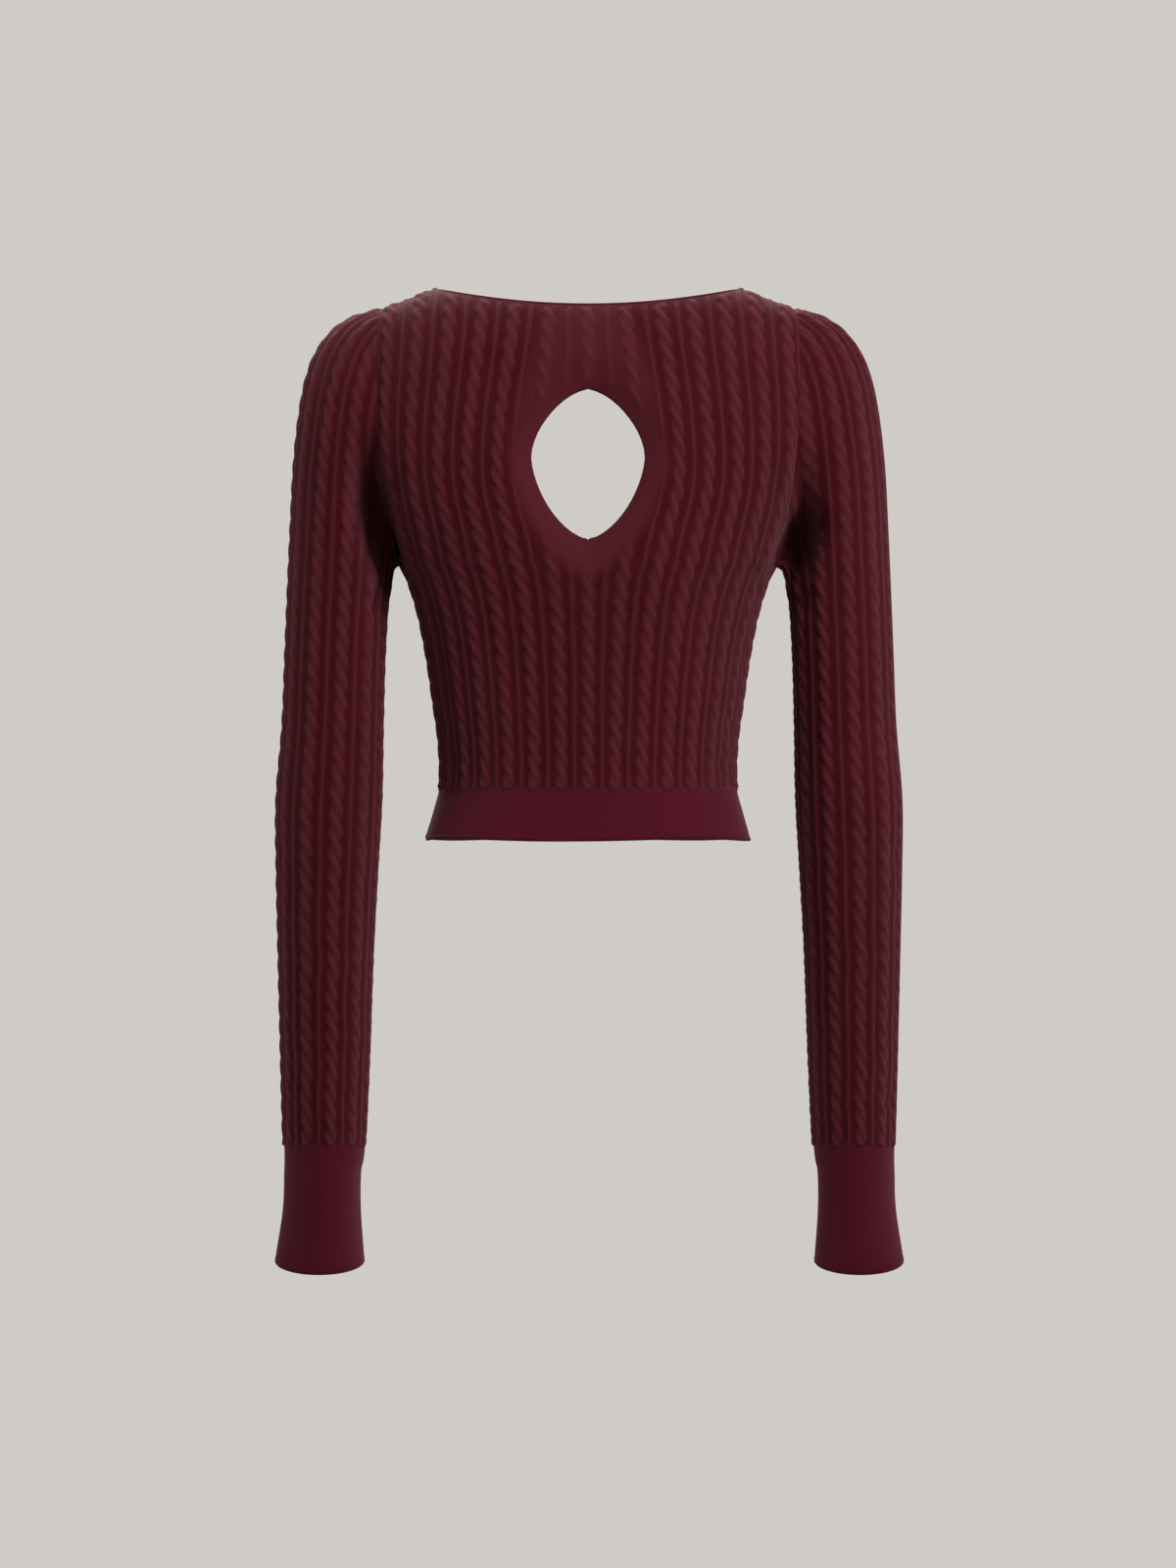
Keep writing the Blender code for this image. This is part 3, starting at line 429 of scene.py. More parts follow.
def eased(share):
    share = np.clip(share, 0.0, 1.0)
    return share * share * (3 - 2 * share)


def bump(distance, reach):
    """1 where the distance is 0, falling softly to near 0 past the reach."""
    return np.exp(-((distance / reach) ** 2))


def left_over(share, power):
    """Height of a rounded outline over its axis, as a share, at a share of its half width."""
    return (1 - np.clip(share, 0, 1) ** power) ** (1 / power)


def table_at(table, row, column):
    """Bilinear reading of a two-way table at fractional rows and columns."""
    row = np.clip(row, 0, table.shape[0] - 1 - TINY)
    column = np.clip(column, 0, table.shape[1] - 1 - TINY)
    low, left = row.astype(int), column.astype(int)
    up, right = row - low, column - left
    below = table[low, left] * (1 - right) + table[low, left + 1] * right
    above = table[low + 1, left] * (1 - right) + table[low + 1, left + 1] * right
    return below * (1 - up) + above * up


def lengths_along(points):
    """Length from the first row of a grid of points, down each column."""
    steps = np.linalg.norm(np.diff(points, axis=0), axis=-1)
    return np.concatenate([np.zeros((1, points.shape[1])), np.cumsum(steps, axis=0)])


def steps_round(points):
    """Step from the point before to the point after, on rings whose last point is their first."""
    ring = points[:, :-1]
    steps = np.roll(ring, -1, axis=1) - np.roll(ring, 1, axis=1)
    return np.concatenate([steps, steps[:, :1]], axis=1)


def normals_of(points, across):
    """Outward directions of a grid whose rows go up and whose columns go right, seen from outside."""
    return unit(np.cross(across, np.gradient(points, axis=0)))


def kept_on_side(points, facing):
    """Points moved, where they crossed it, to the plane between the sweater's front and back."""
    points[..., 1] = facing * np.maximum(facing * points[..., 1], 0.0)
    return points


# ---------------------------------------------------------------- form of the sleeves


def ring_column(stations, column):
    rows = [(index, *row) for index, row in enumerate(SLEEVE_RINGS)]
    return smooth_table(rows, stations, column)


def ring_points(stations, angles):
    """Points of the +X sleeve's rings. Angle 0 is the outer line."""
    outer, inner = (
        np.stack([ring_column(stations, column) for column in columns], -1)
        for columns in ((1, 6, 2), (3, 6, 4))
    )
    before = np.maximum(stations - RING_LEAN_STEP, 0)
    after = np.minimum(stations + RING_LEAN_STEP, CUFF_END_RING)
    drop = sum(ring_column(before, column) - ring_column(after, column) for column in (2, 4)) / 2
    lean = np.arctan2(ring_column(after, 6) - ring_column(before, 6), np.maximum(drop, TINY))
    across = unit(outer - inner)
    forward = np.stack([np.zeros_like(lean), np.cos(lean), np.sin(lean)], -1)
    half_width = np.linalg.norm(outer - inner, axis=-1)[..., None] / 2
    bow_axis = np.stack([across[..., 2], np.zeros_like(lean), -across[..., 0]], -1)
    cosine, sine = np.cos(angles)[..., None], np.sin(angles)[..., None]
    points = (outer + inner) / 2 + across * half_width * cosine
    points = points + forward * ring_column(stations, 5)[..., None] * sine
    return points + bow_axis * ring_column(stations, 7)[..., None] * sine**2


def levelled(stations, angles):
    """Stations moved so that the ring at the cuff seam lies level."""
    near = bump(stations - CUFF_RING, CUFF_SEAM_REACH)
    return stations + CUFF_SEAM_SLANT * np.sin(angles) * near


def set_on_side(points, stations, side):
    """Points of the +X sleeve mirrored to their side, with the right sleeve's hang added."""
    placed = points * np.array([side, 1.0, 1.0])
    if side > 0:
        placed[..., 0] += RIGHT_HANG * eased(stations / HANG_RINGS)
    return placed


# ---------------------------------------------------------------- form of the body


def armhole_edge(z):
    """Distance from the centre line and half depth of the armhole at a height."""
    top, low = SLEEVE_RINGS[0][:2], SLEEVE_RINGS[0][2:4]
    half_depth, bow = SLEEVE_RINGS[0][4], SLEEVE_RINGS[0][6]
    share = (z - (top[1] + low[1]) / 2) / ((top[1] - low[1]) / 2)
    share = np.clip(share, -ARMHOLE_REACH, ARMHOLE_REACH)
    round_share = np.sqrt(1 - share**2)
    x = (top[0] + low[0]) / 2 + (top[0] - low[0]) / 2 * share + bow * round_share**2
    return x, half_depth * round_share


def shoulder_factor(x, z):
    below = np.clip((smooth_table(SHOULDER_LINE, np.abs(x), 1) - z) / SHOULDER_ROUNDING, 0.0, 1.0)
    return np.sqrt(np.clip(1 - (1 - below) ** 2, 0.0, 1.0))


def neck_height(x, facing):
    """Height of the neckline's top edge at a distance from the centre line."""
    share = np.minimum(np.abs(x) / NECK_HALF_WIDTH, 1.0)
    if facing < 0:
        return NECK_CORNER_Z + (BACK_NECK_Z - NECK_CORNER_Z) * (1 - share**BACK_NECK_POWER)
    return NECK_CORNER_Z + (FRONT_NECK_Z - NECK_CORNER_Z) * (1 - share) ** (1 / V_CURVE)


def neck_cut(facing):
    """The cloth's own edge under the neck edge, from the centre to the shoulder: x and z rising."""
    x = NECK_HALF_WIDTH * (1 - (1 - np.linspace(0.0, 1.0, NECK_CUT_POINTS)) ** NECK_CUT_CROWDING)
    z = neck_height(x, facing)
    along = unit(np.stack([np.gradient(x), np.gradient(z)], -1))
    cut_x, cut_z = x + along[:, 1] * NECK_EDGE_HEIGHT, z - along[:, 0] * NECK_EDGE_HEIGHT
    cut_x[0] = 0.0
    if facing > 0:
        cut_z[0] = z[0] - NECK_EDGE_HEIGHT * V_POINT_DROP
    cut_x[-1] = NECK_CORNER_X
    cut_z[-1] = smooth_table(SHOULDER_LINE, NECK_CORNER_X, 1) - SHOULDER_CUT
    order = np.argsort(cut_z)
    return np.maximum(cut_x[order], 0.0), cut_z[order]


def keyhole_shape(z, up=0.0, down=0.0):
    """Half height and power of the keyhole's outline, grown by two margins, above or below its middle."""
    above = z > KEYHOLE_Z
    half_height = np.where(above, KEYHOLE_UP + up, KEYHOLE_DOWN + down)
    return half_height, np.where(above, KEYHOLE_POWER_ABOVE, KEYHOLE_POWER)


def keyhole_share(x, z, side=0.0, up=0.0, down=0.0):
    """1 on the edge of the keyhole grown by the three margins, less inside it, more outside."""
    half_height, power = keyhole_shape(z, up, down)
    across = np.abs(x) / (KEYHOLE_HALF_WIDTH + side)
    along = np.abs(z - KEYHOLE_Z) / half_height
    return (across**power + along**power) ** (1 / power)


def keyhole_half_width(z):
    half_height, power = keyhole_shape(z)
    return KEYHOLE_HALF_WIDTH * left_over(np.abs(z - KEYHOLE_Z) / half_height, power)


class PanelForm:
    """The back (facing -1) or the front (facing 1) of the body, by arc from the centre and height."""

    def __init__(self, facing):
        self.facing = facing
        self.depth_column = 2 if facing < 0 else 3
        tips = (UNDERARM_Z, KEYHOLE_Z + KEYHOLE_UP, KEYHOLE_Z - KEYHOLE_DOWN)
        near = TIP_REACH * np.linspace(-1, 1, TIP_LEVELS) ** 3
        levels = [np.arange(HEM_SEAM_Z, FORM_TOP_Z, LEVEL_STEP)] + [tip + near for tip in tips]
        self.levels = np.unique(np.round(np.concatenate(levels), 8))
        self.width = self.section_width(self.levels)
        depth = smooth_table(BODY_FORM, self.levels, self.depth_column)
        angles = np.linspace(0, math.pi / 2, SECTION_STEPS + 1)
        x = self.width[:, None] * np.sin(angles) ** (2 / SECTION_POWER)
        y = depth[:, None] * np.cos(angles) ** (2 / SECTION_POWER)
        steps = np.hypot(np.diff(x, axis=1), np.diff(y, axis=1))
        arc = np.concatenate([np.zeros((len(x), 1)), np.cumsum(steps, axis=1)], axis=1)
        self.full = arc[:, -1]
        shares = np.linspace(0, 1, ARC_STEPS + 1)
        self.x_table = np.array([np.interp(shares * row[-1], row, line) for row, line in zip(arc, x)])
        above = self.levels > UNDERARM_Z
        edge_x = np.where(above, armhole_edge(np.minimum(self.levels, SHOULDER_END_Z))[0], self.width)
        self.edge = np.array([np.interp(*level) for level in zip(edge_x, x, arc)])
        if facing < 0:
            start_x = keyhole_half_width(self.levels)
        else:
            cut_x, cut_z = neck_cut(facing)
            start_x = np.where(self.levels > cut_z[0], np.interp(self.levels, cut_z, cut_x), 0.0)
        self.start = np.array([np.interp(*level) for level in zip(start_x, x, arc)])
        self.spacing = np.minimum(self.full / PANEL_HALF_REPEATS, CHEST_REPEAT)
        self.lay_out_columns()
        self.measure_wales()

    def section_width(self, z):
        """Half width at which the body's section at a height would close."""
        z_above = np.clip(z, UNDERARM_Z + TINY, SHOULDER_END_Z - SHOULDER_END_GAP)
        edge_x, edge_y = armhole_edge(z_above)
        depth = smooth_table(BODY_FORM, z_above, self.depth_column) * shoulder_factor(edge_x, z_above)
        share = np.minimum(edge_y / depth, SECTION_REACH)
        above = edge_x / left_over(share, SECTION_POWER)
        return np.where(z <= UNDERARM_Z, smooth_table(BODY_FORM, z, 1), above)

    def level_of(self, z):
        return np.interp(z, self.levels, np.arange(len(self.levels)))

    def x_at(self, arc, z):
        share = arc / np.interp(z, self.levels, self.full)
        return table_at(self.x_table, self.level_of(z), np.clip(share, 0, 1) * ARC_STEPS)

    def half_depth(self, x, z, width):
        """Half depth of the body at a place, in a section that would close at the given half width."""
        bulge = left_over(np.abs(x) / width, SECTION_POWER)
        return smooth_table(BODY_FORM, z, self.depth_column) * bulge * shoulder_factor(x, z)

    def point(self, arc, z):
        """Points of the form with x counted from the centre line outwards."""
        x = self.x_at(arc, z)
        y = self.half_depth(x, z, np.interp(z, self.levels, self.width))
        return np.stack([x, self.facing * y, z], -1)

    def lay_out_columns(self):
        """Arc of each grid column at each level. Columns run up the panel, round the keyhole or V."""
        even = np.arange(self.levels[0], self.levels[-1] + 1e-9, CALM_STEP)
        edge = np.interp(even, self.levels, self.edge)
        taps = bump(np.arange(-CALM_STEPS, CALM_STEPS + 1), CALM_REACH)
        padded = np.pad(edge, CALM_STEPS, mode="edge")
        calm = np.interp(self.levels, even, np.convolve(padded, taps / taps.sum(), mode="valid"))
        shares = np.linspace(0, 1, PANEL_COLUMNS + 1)
        rows = []
        for level, z in enumerate(self.levels):
            start, end = self.start[level], calm[level]
            if self.facing < 0:
                arcs = start + (end - start) * np.linspace(0, 1, FLOW_STEPS) ** FLOW_CROWDING
                share = keyhole_share(self.x_at(arcs, np.full(FLOW_STEPS, z)), z)
                flow = arcs * (1 - 1 / np.maximum(share, 1.0) ** 2)
                flow[0] = 0.0
                row = np.interp(shares * flow[-1], np.maximum.accumulate(flow), arcs)
            else:
                row = start + (end - start) * shares
            rows.append(row + shares**EDGE_FLOW_POWER * (self.edge[level] - end))
        self.columns = np.array(rows)

    def column_arc(self, column, z):
        return np.interp(z, self.levels, self.columns[:, column])

    def top_of(self, column):
        """Height at which a column meets the shoulder line or the back neckline."""
        cut_x, cut_z = neck_cut(self.facing)
        order = np.argsort(cut_x)
        z = SHOULDER_END_Z
        for _ in range(TOP_TRIES):
            x = float(self.x_at(np.array([self.column_arc(column, z)]), np.array([z]))[0])
            if self.facing < 0 and x < NECK_CORNER_X:
                z = float(np.interp(x, cut_x[order], cut_z[order]))
            else:
                z = float(smooth_table(SHOULDER_LINE, x, 1))
        return z

    def column_points(self, column, rows):
        """A column's points, with each stretch between two heights cut into equal lengths."""
        top = self.top_of(column)
        if self.facing < 0:
            stops = [HEM_SEAM_Z, UNDERARM_Z, KEYHOLE_Z - KEYHOLE_DOWN, KEYHOLE_Z + KEYHOLE_UP, top]
        else:
            stops = [HEM_SEAM_Z, float(neck_cut(self.facing)[1][0]), top]
        found = []
        for low, high, count in zip(stops, stops[1:], rows):
            swing = (1 - np.cos(np.linspace(0, math.pi, ROW_STEPS * count))) / 2
            z = low + (high - low) * swing
            fine = self.point(self.column_arc(column, z), z)
            lengths = lengths_along(fine[:, None])[:, 0]
            z_rows = np.interp(np.linspace(0, lengths[-1], count + 1), lengths, z)
            found.append(z_rows if not found else z_rows[1:])
        z = np.concatenate(found)
        arc = self.column_arc(column, z)
        return self.point(arc, z), arc

    def push(self, z, repeats):
        """How far the keyhole pushes a wale outwards, by its repeat from the centre."""
        if self.facing > 0:
            return np.zeros_like(repeats)
        spread = np.where(z > KEYHOLE_PUSH_Z, KEYHOLE_PUSH_ABOVE, KEYHOLE_PUSH_BELOW)
        size = KEYHOLE_PUSH * bump(z - KEYHOLE_PUSH_Z, spread)
        near = repeats / KEYHOLE_FREE_REPEATS
        far = np.clip(1 - (repeats - KEYHOLE_FREE_REPEATS) / KEYHOLE_PUSH_REACH, 0, 1)
        return size * np.where(repeats < KEYHOLE_FREE_REPEATS, near, far)

    def measure_wales(self):
        """Length up each wale, by repeat and level."""
        repeats = np.linspace(0, PANEL_HALF_REPEATS, WALE_STEPS + 1)
        repeats = np.broadcast_to(repeats, (len(self.levels), WALE_STEPS + 1))
        z = np.broadcast_to(self.levels[:, None], repeats.shape)
        arc = self.spacing[:, None] * repeats + self.push(z, repeats)
        arc = np.minimum(arc, self.full[:, None])
        x = self.x_at(arc, z)
        z = np.minimum(z, smooth_table(SHOULDER_LINE, x, 1))
        y = self.half_depth(x, z, self.width[:, None])
        self.wale_lengths = lengths_along(np.stack([x, y, z], -1))

    def knit_place(self, arc, z):
        """Repeat from the centre, length up the wale, a cable's width here, and this repeat's width."""
        spacing = np.interp(z, self.levels, self.spacing)
        size = self.push(z, np.full_like(z, KEYHOLE_FREE_REPEATS))
        near_width = spacing + size / KEYHOLE_FREE_REPEATS
        far_width = spacing - size / KEYHOLE_PUSH_REACH
        near = arc / near_width
        far = KEYHOLE_FREE_REPEATS + (arc - near_width * KEYHOLE_FREE_REPEATS) / far_width
        repeat = np.where(near < KEYHOLE_FREE_REPEATS, near, far)
        column = repeat / PANEL_HALF_REPEATS * WALE_STEPS
        stretched = np.where(near < KEYHOLE_FREE_REPEATS, near_width, spacing)
        return repeat, table_at(self.wale_lengths, self.level_of(z), column), far_width, stretched


# ---------------------------------------------------------------- knit


def distances_across(repeat, width):
    """Distance across a wale from the nearest cable's middle, with its sign, and from the nearest rib's."""
    return (repeat - np.round(repeat)) * width, np.abs(repeat - np.floor(repeat) - 0.5) * width


def crossing_phase(length):
    """Cable crossings counted up a wale of a panel, and the pitch there."""
    rows = [0.0]
    while rows[-1] < LONGEST_WALE:
        rise = min(rows[-1] / PITCH_CHANGE_LENGTH, 1.0)
        rows.append(rows[-1] + PITCH_LOW + (PITCH_HIGH - PITCH_LOW) * rise)
    pitch = PITCH_LOW + (PITCH_HIGH - PITCH_LOW) * np.clip(length / PITCH_CHANGE_LENGTH, 0, 1)
    return np.interp(length, rows, np.arange(len(rows))), pitch


def knit_relief(sizes, to_cable, to_rib, width, phase, pitch):
    """Height of cables and ribs over the ground, and the sideways offset from the strand on top."""
    height = np.zeros_like(to_cable)
    offset = to_cable.copy()
    for strand in (0, 1):
        turn = math.pi * (phase + strand)
        middle = -STRAND_SWING * width * np.sin(turn)
        slope = STRAND_SWING * width * math.pi * np.cos(turn) / pitch
        across = (to_cable - middle) / np.sqrt(1 + slope**2)
        dome = np.sqrt(np.clip(1 - (across / (STRAND_RADIUS * width)) ** 2, 0, 1))
        front = BACK_STRAND + (1 - BACK_STRAND) * (0.5 + 0.5 * np.cos(turn))
        strand_height = sizes.cable_rise * front * dome
        offset = np.where(strand_height > height, across, offset)
        height = np.maximum(height, strand_height)
    rib = np.sqrt(np.clip(1 - (to_rib / (RIB_RADIUS * width)) ** 2, 0, 1)) * sizes.rib_rise
    return np.maximum(height, rib), offset


def repeat_width(points, repeats):
    """Width of one repeat at each point of a grid, from how fast the repeats change along the cloth."""
    down, right = np.gradient(points, axis=0), np.gradient(points, axis=1)
    rise, run = np.gradient(repeats, axis=0), np.gradient(repeats, axis=1)
    down_size, right_size = np.sum(down**2, axis=-1), np.sum(right**2, axis=-1)
    shared = np.sum(down * right, axis=-1)
    steepness = rise**2 * right_size - 2 * rise * run * shared + run**2 * down_size
    return np.sqrt(np.maximum(down_size * right_size - shared**2, 1e-18) / np.maximum(steepness, 1e-12))


def fold_depth(points, middle, direction, half_length, half_widths, size):
    """Depth of one soft fold at each point. Its half widths are towards the centre and away from it."""
    direction = unit(np.array(direction))
    away = points - np.array(middle)
    along = away @ direction
    across = away - along[..., None] * direction
    half_width = np.where(across[..., 0] > 0, half_widths[1], half_widths[0])
    distance = np.linalg.norm(across, axis=-1)
    return size * np.exp(-((along / half_length) ** 2) - (distance / half_width) ** 2)


def crease_depth(points, creases, side):
    """How far the soft creases push the cloth inwards at each point."""
    mirrored = points * np.array([side, 1.0, 1.0])
    return sum(
        fold_depth(mirrored, middle, direction, half_length, (half_width, half_width), size)
        for middle, direction, half_length, half_width, size in creases
    )


def armhole_shift(points, side):
    """How the folds beside the armhole seam move the cloth, the same on body and sleeve."""
    facing = np.where(points[..., 1] > 0, 1.0, -1.0)
    mirrored = points * np.array([side, 1.0, 1.0])
    mirrored[..., 1] = -np.abs(mirrored[..., 1])
    depth = sum(fold_depth(mirrored, *fold) for fold in ARMHOLE_FOLDS[side])
    share = np.where(facing < 0, FOLD_REACH_BEHIND, FOLD_REACH_IN_FRONT)
    reach = np.maximum(share * np.abs(points[..., 1]), TINY)
    shift = np.zeros_like(points)
    shift[..., 1] = -facing * reach * (1 - np.exp(-depth / reach))
    return shift


# ---------------------------------------------------------------- meshes


def sheet_mesh(points, knit_map, shade_tones):
    """A sheet of quads from a grid of points, rows upwards and columns to the right seen from outside."""
    rows, columns = points.shape[:2]
    bpy.ops.object.select_all(action="DESELECT")
    bpy.ops.mesh.primitive_grid_add(x_subdivisions=columns - 1, y_subdivisions=rows - 1, size=1)
    obj = bpy.context.object
    mesh = obj.data
    if len(mesh.vertices) != rows * columns:
        raise ValueError(f"the grid has {len(mesh.vertices)} points, not {rows * columns}")
    mesh.vertices.foreach_set("co", points.reshape(-1))
    corners = np.empty(len(mesh.loops), int)
    mesh.loops.foreach_get("vertex_index", corners)
    mesh.uv_layers[0].name = "knit"
    mesh.uv_layers["knit"].data.foreach_set("uv", knit_map.reshape(-1, 2)[corners].reshape(-1))
    shade_tone = mesh.attributes.new("knit_height", "FLOAT", "POINT")
    shade_tone.data.foreach_set("value", shade_tones.reshape(-1).astype(np.float32))
    return obj


def closed_piece(node, sheets, rims, ends=()):
    """One object from several sheets: the rims join a fine edge to a coarse one, and doubles are merged."""
    name = "knitted_" + node
    shape = bmesh.new()
    for points, knit_map, shade_tones in sheets:
        sheet = sheet_mesh(points, knit_map, shade_tones)
        shape.from_mesh(sheet.data)
        mesh = sheet.data
        bpy.data.objects.remove(sheet)
        bpy.data.meshes.remove(mesh)
    shape.verts.ensure_lookup_table()
    places = np.concatenate([knit_map.reshape(-1, 2) for _, knit_map, _ in sheets])
    layer = shape.loops.layers.uv["knit"]
    loops = []
    for fine, coarse in rims:
        step = (len(fine) - 1) // (len(coarse) - 1)
        for index in range(len(coarse) - 1):
            part = fine[index * step : (index + 1) * step + 1]
            loops.append([*part, coarse[index + 1], coarse[index]])
    loops += list(ends)
    for loop in loops:
        face = shape.faces.new([shape.verts[index] for index in loop])
        for corner, index in zip(face.loops, loop):
            corner[layer].uv = places[index]
    bmesh.ops.remove_doubles(shape, verts=shape.verts, dist=MERGE_DISTANCE)
    bmesh.ops.recalc_face_normals(shape, faces=shape.faces)
    mesh = bpy.data.meshes.new(name)
    shape.to_mesh(mesh)
    shape.free()
    mesh.shade_smooth()
    obj = bpy.data.objects.new(name, mesh)
    bpy.context.scene.collection.objects.link(obj)
    return obj


def grid_numbers(start, rows, columns):
    """Vertex numbers of a sheet whose first vertex has the number start."""
    return start + np.arange(rows * columns).reshape(rows, columns)


def dress(obj, node, kind):
    """Stands obj for its solid and gives it its yarn."""
    width, length, area, held, slot = CUTS[kind]
    obj.data.materials.append(knit_finish(slot))
    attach(obj, BODY)
    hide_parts(node)


# ---------------------------------------------------------------- finishes


class Value:
    """A socket that takes part in Python expressions by adding Math nodes."""

    def __init__(self, finish, socket):
        self.finish = finish
        self.socket = socket

    def math(self, operation, *contents):
        sockets = dict(enumerate(contents))
        return self.finish.value("ShaderNodeMath", {"operation": operation}, sockets)

    def __add__(self, other):
        return self.math("ADD", self, other)

    def __sub__(self, other):
        return self.math("SUBTRACT", self, other)

    def __rsub__(self, other):
        return self.math("SUBTRACT", other, self)

    def __mul__(self, other):
        return self.math("MULTIPLY", self, other)

    def __truediv__(self, other):
        return self.math("DIVIDE", self, other)

    def __rtruediv__(self, other):
        return self.math("DIVIDE", other, self)

    def __pow__(self, other):
        return self.math("POWER", self, other)

    def __rpow__(self, other):
        return self.math("POWER", other, self)

    __radd__ = __add__
    __rmul__ = __mul__

    def fraction(self):
        return self.math("FRACT", self)

    def size(self):
        return self.math("ABSOLUTE", self)


class Finish:
    """A node material under construction."""

    def __init__(self, name):
        self.material = bpy.data.materials.new(name)
        self.material.use_nodes = True
        self.tree = self.material.node_tree
        self.tree.nodes.clear()

    def node(self, kind, settings, sockets):
        """A node with its settings made first, then the values or links of its sockets."""
        made = self.tree.nodes.new(kind)
        for name, setting in settings.items():
            setattr(made, name, setting)
        for name, content in sockets.items():
            if isinstance(content, Value):
                self.tree.links.new(content.socket, made.inputs[name])
            else:
                made.inputs[name].default_value = content
        return made

    def value(self, kind, settings, sockets, output=0):
        return Value(self, self.node(kind, settings, sockets).outputs[output])

    def mixed(self, factor, first, second):
        sockets = {0: factor, 6: first, 7: second}
        return self.value("ShaderNodeMix", {"data_type": "RGBA"}, sockets, output=2)

    def shown_by(self, shader):
        """The finished material, with the shader as its surface."""
        self.node("ShaderNodeOutputMaterial", {}, {"Surface": shader})
        return self.material


def scaled(colour, share):
    return (colour[0] * share, colour[1] * share, colour[2] * share, 1.0)


def knit_finish(slot):
    """Fine knitted yarn: columns of V stitches, painted shade in the valleys and between the stitches, and
    a soft fuzz that is partly a painted highlight on the raised yarn.
    """
    name = slot + "_yarn"
    if name in bpy.data.materials:
        return bpy.data.materials[name]
    colour_name, stitch_share, bump_depth, stitch_shade = YARNS[slot]
    colours, sizes = bpy.context.scene.sweater_colours, bpy.context.scene.sweater_sizes
    colour, valley_shade = getattr(colours, colour_name), colours.valley_shade
    finish = Finish(name)
    spot = finish.value("ShaderNodeUVMap", {"uv_map": "knit"}, {})
    parts = finish.node("ShaderNodeSeparateXYZ", {}, {0: spot})
    across, up = Value(finish, parts.outputs[0]), Value(finish, parts.outputs[1])
    side = ((across / (sizes.stitch_width * stitch_share)).fraction() - 0.5).size() * 2.0
    leg = (up / (sizes.stitch_height * stitch_share) - side * STITCH_SLANT).fraction()
    yarn = 1.0 - ((leg - 0.5).size() * 2.0) ** YARN_POWER
    stitch = yarn * (1.0 - side**COLUMN_POWER)

    where = finish.value("ShaderNodeTexCoord", {}, {}, output=3)
    broad = finish.value("ShaderNodeTexNoise", {}, {"Vector": where, "Scale": 22.0, "Detail": 3.0})
    fine = finish.value("ShaderNodeTexNoise", {}, {"Vector": where, "Scale": 900.0, "Detail": 4.0})
    shade_tone = finish.value("ShaderNodeAttribute", {"attribute_name": "knit_height"}, {}, output=2)

    # Painted shade: where the shade tone is low the colour falls to the painted valley shade
    ground = finish.mixed(shade_tone**GROUND_POWER, scaled(valley_shade, 1.0), scaled(colour, 1.0))
    lit = stitch * stitch_shade + (1.0 - stitch_shade)
    # Painted shade between the stitches, darker than the painted valley shade
    shaded = finish.mixed(lit, scaled(valley_shade, GAP_SHADE_TONE), ground)
    wash = finish.mixed(broad * WASH_SHARE, shaded, scaled(colour, WASH_TONE))
    # The yarn's own pale fuzz, shown only where the shade tone is high, so it is also a painted highlight
    # on the raised yarn
    fuzz_highlight = finish.mixed(fine * shade_tone * FUZZ_HIGHLIGHT_SHARE, wash, scaled(colour, FUZZ_HIGHLIGHT_TONE))

    height = stitch * STITCH_BUMP + fine * FIBRE_BUMP
    raised = {"Strength": BUMP_STRENGTH, "Distance": bump_depth, "Height": height}
    surface = {
        "Base Color": fuzz_highlight,
        "Roughness": LEAST_ROUGHNESS + fine * ROUGHNESS_RANGE,
        "Normal": finish.value("ShaderNodeBump", {}, raised),
        **YARN_SHEEN,
    }
    finish.material.diffuse_color = (*colour, 1.0)
    return finish.shown_by(finish.value("ShaderNodeBsdfPrincipled", {}, surface))


# ---------------------------------------------------------------- body panels


def edge_fade(points, start_open):
    """0 at the panel's seams and 1 a little way in, and 1 at the outer seam and 0 a little way in."""
    up = lengths_along(points)
    across = lengths_along(points.transpose(1, 0, 2)).T
    from_end = across[:, -1:] - across
    from_top = (up[-1:] - up) * SEAM_FADE / SHOULDER_FADE
    from_hem = up * SEAM_FADE / HEM_FADE
    nearest = np.minimum(np.minimum(from_hem, from_top), from_end)
    if start_open:
        at_centre = points[:, :1, 0] < TINY
        nearest = np.where(at_centre, nearest, np.minimum(nearest, across))
    return eased(nearest / SEAM_FADE), 1 - eased(from_end / SEAM_FADE)


def near_keyhole(points, up):
    """1 near the keyhole and 0 outside the margin, which reaches the given height over it."""
    x, z = points[..., 0], points[..., 2]
    share = keyhole_share(x, z, PLAIN_MARGIN_SIDE, up, PLAIN_MARGIN_DOWN)
    return 1 - eased((share - 1.0) / PLAIN_MARGIN_FADE)


def knit_sheets(outer, inner, tone, repeat, length, repeat_size, in_rope, offset):
    """Outer and inner sheet with their maps of the knit, which follow the strand on top of a cable."""
    plain = repeat * repeat_size
    across = np.where(in_rope, np.round(repeat) * repeat_size + offset, plain)
    inner_map = np.stack([plain, length], -1)[::COARSE, ::COARSE]
    inner_tone = np.full(inner.shape[:2], INNER_TONE)
    return [(outer, np.stack([across, length], -1), tone), (inner, inner_map, inner_tone)]


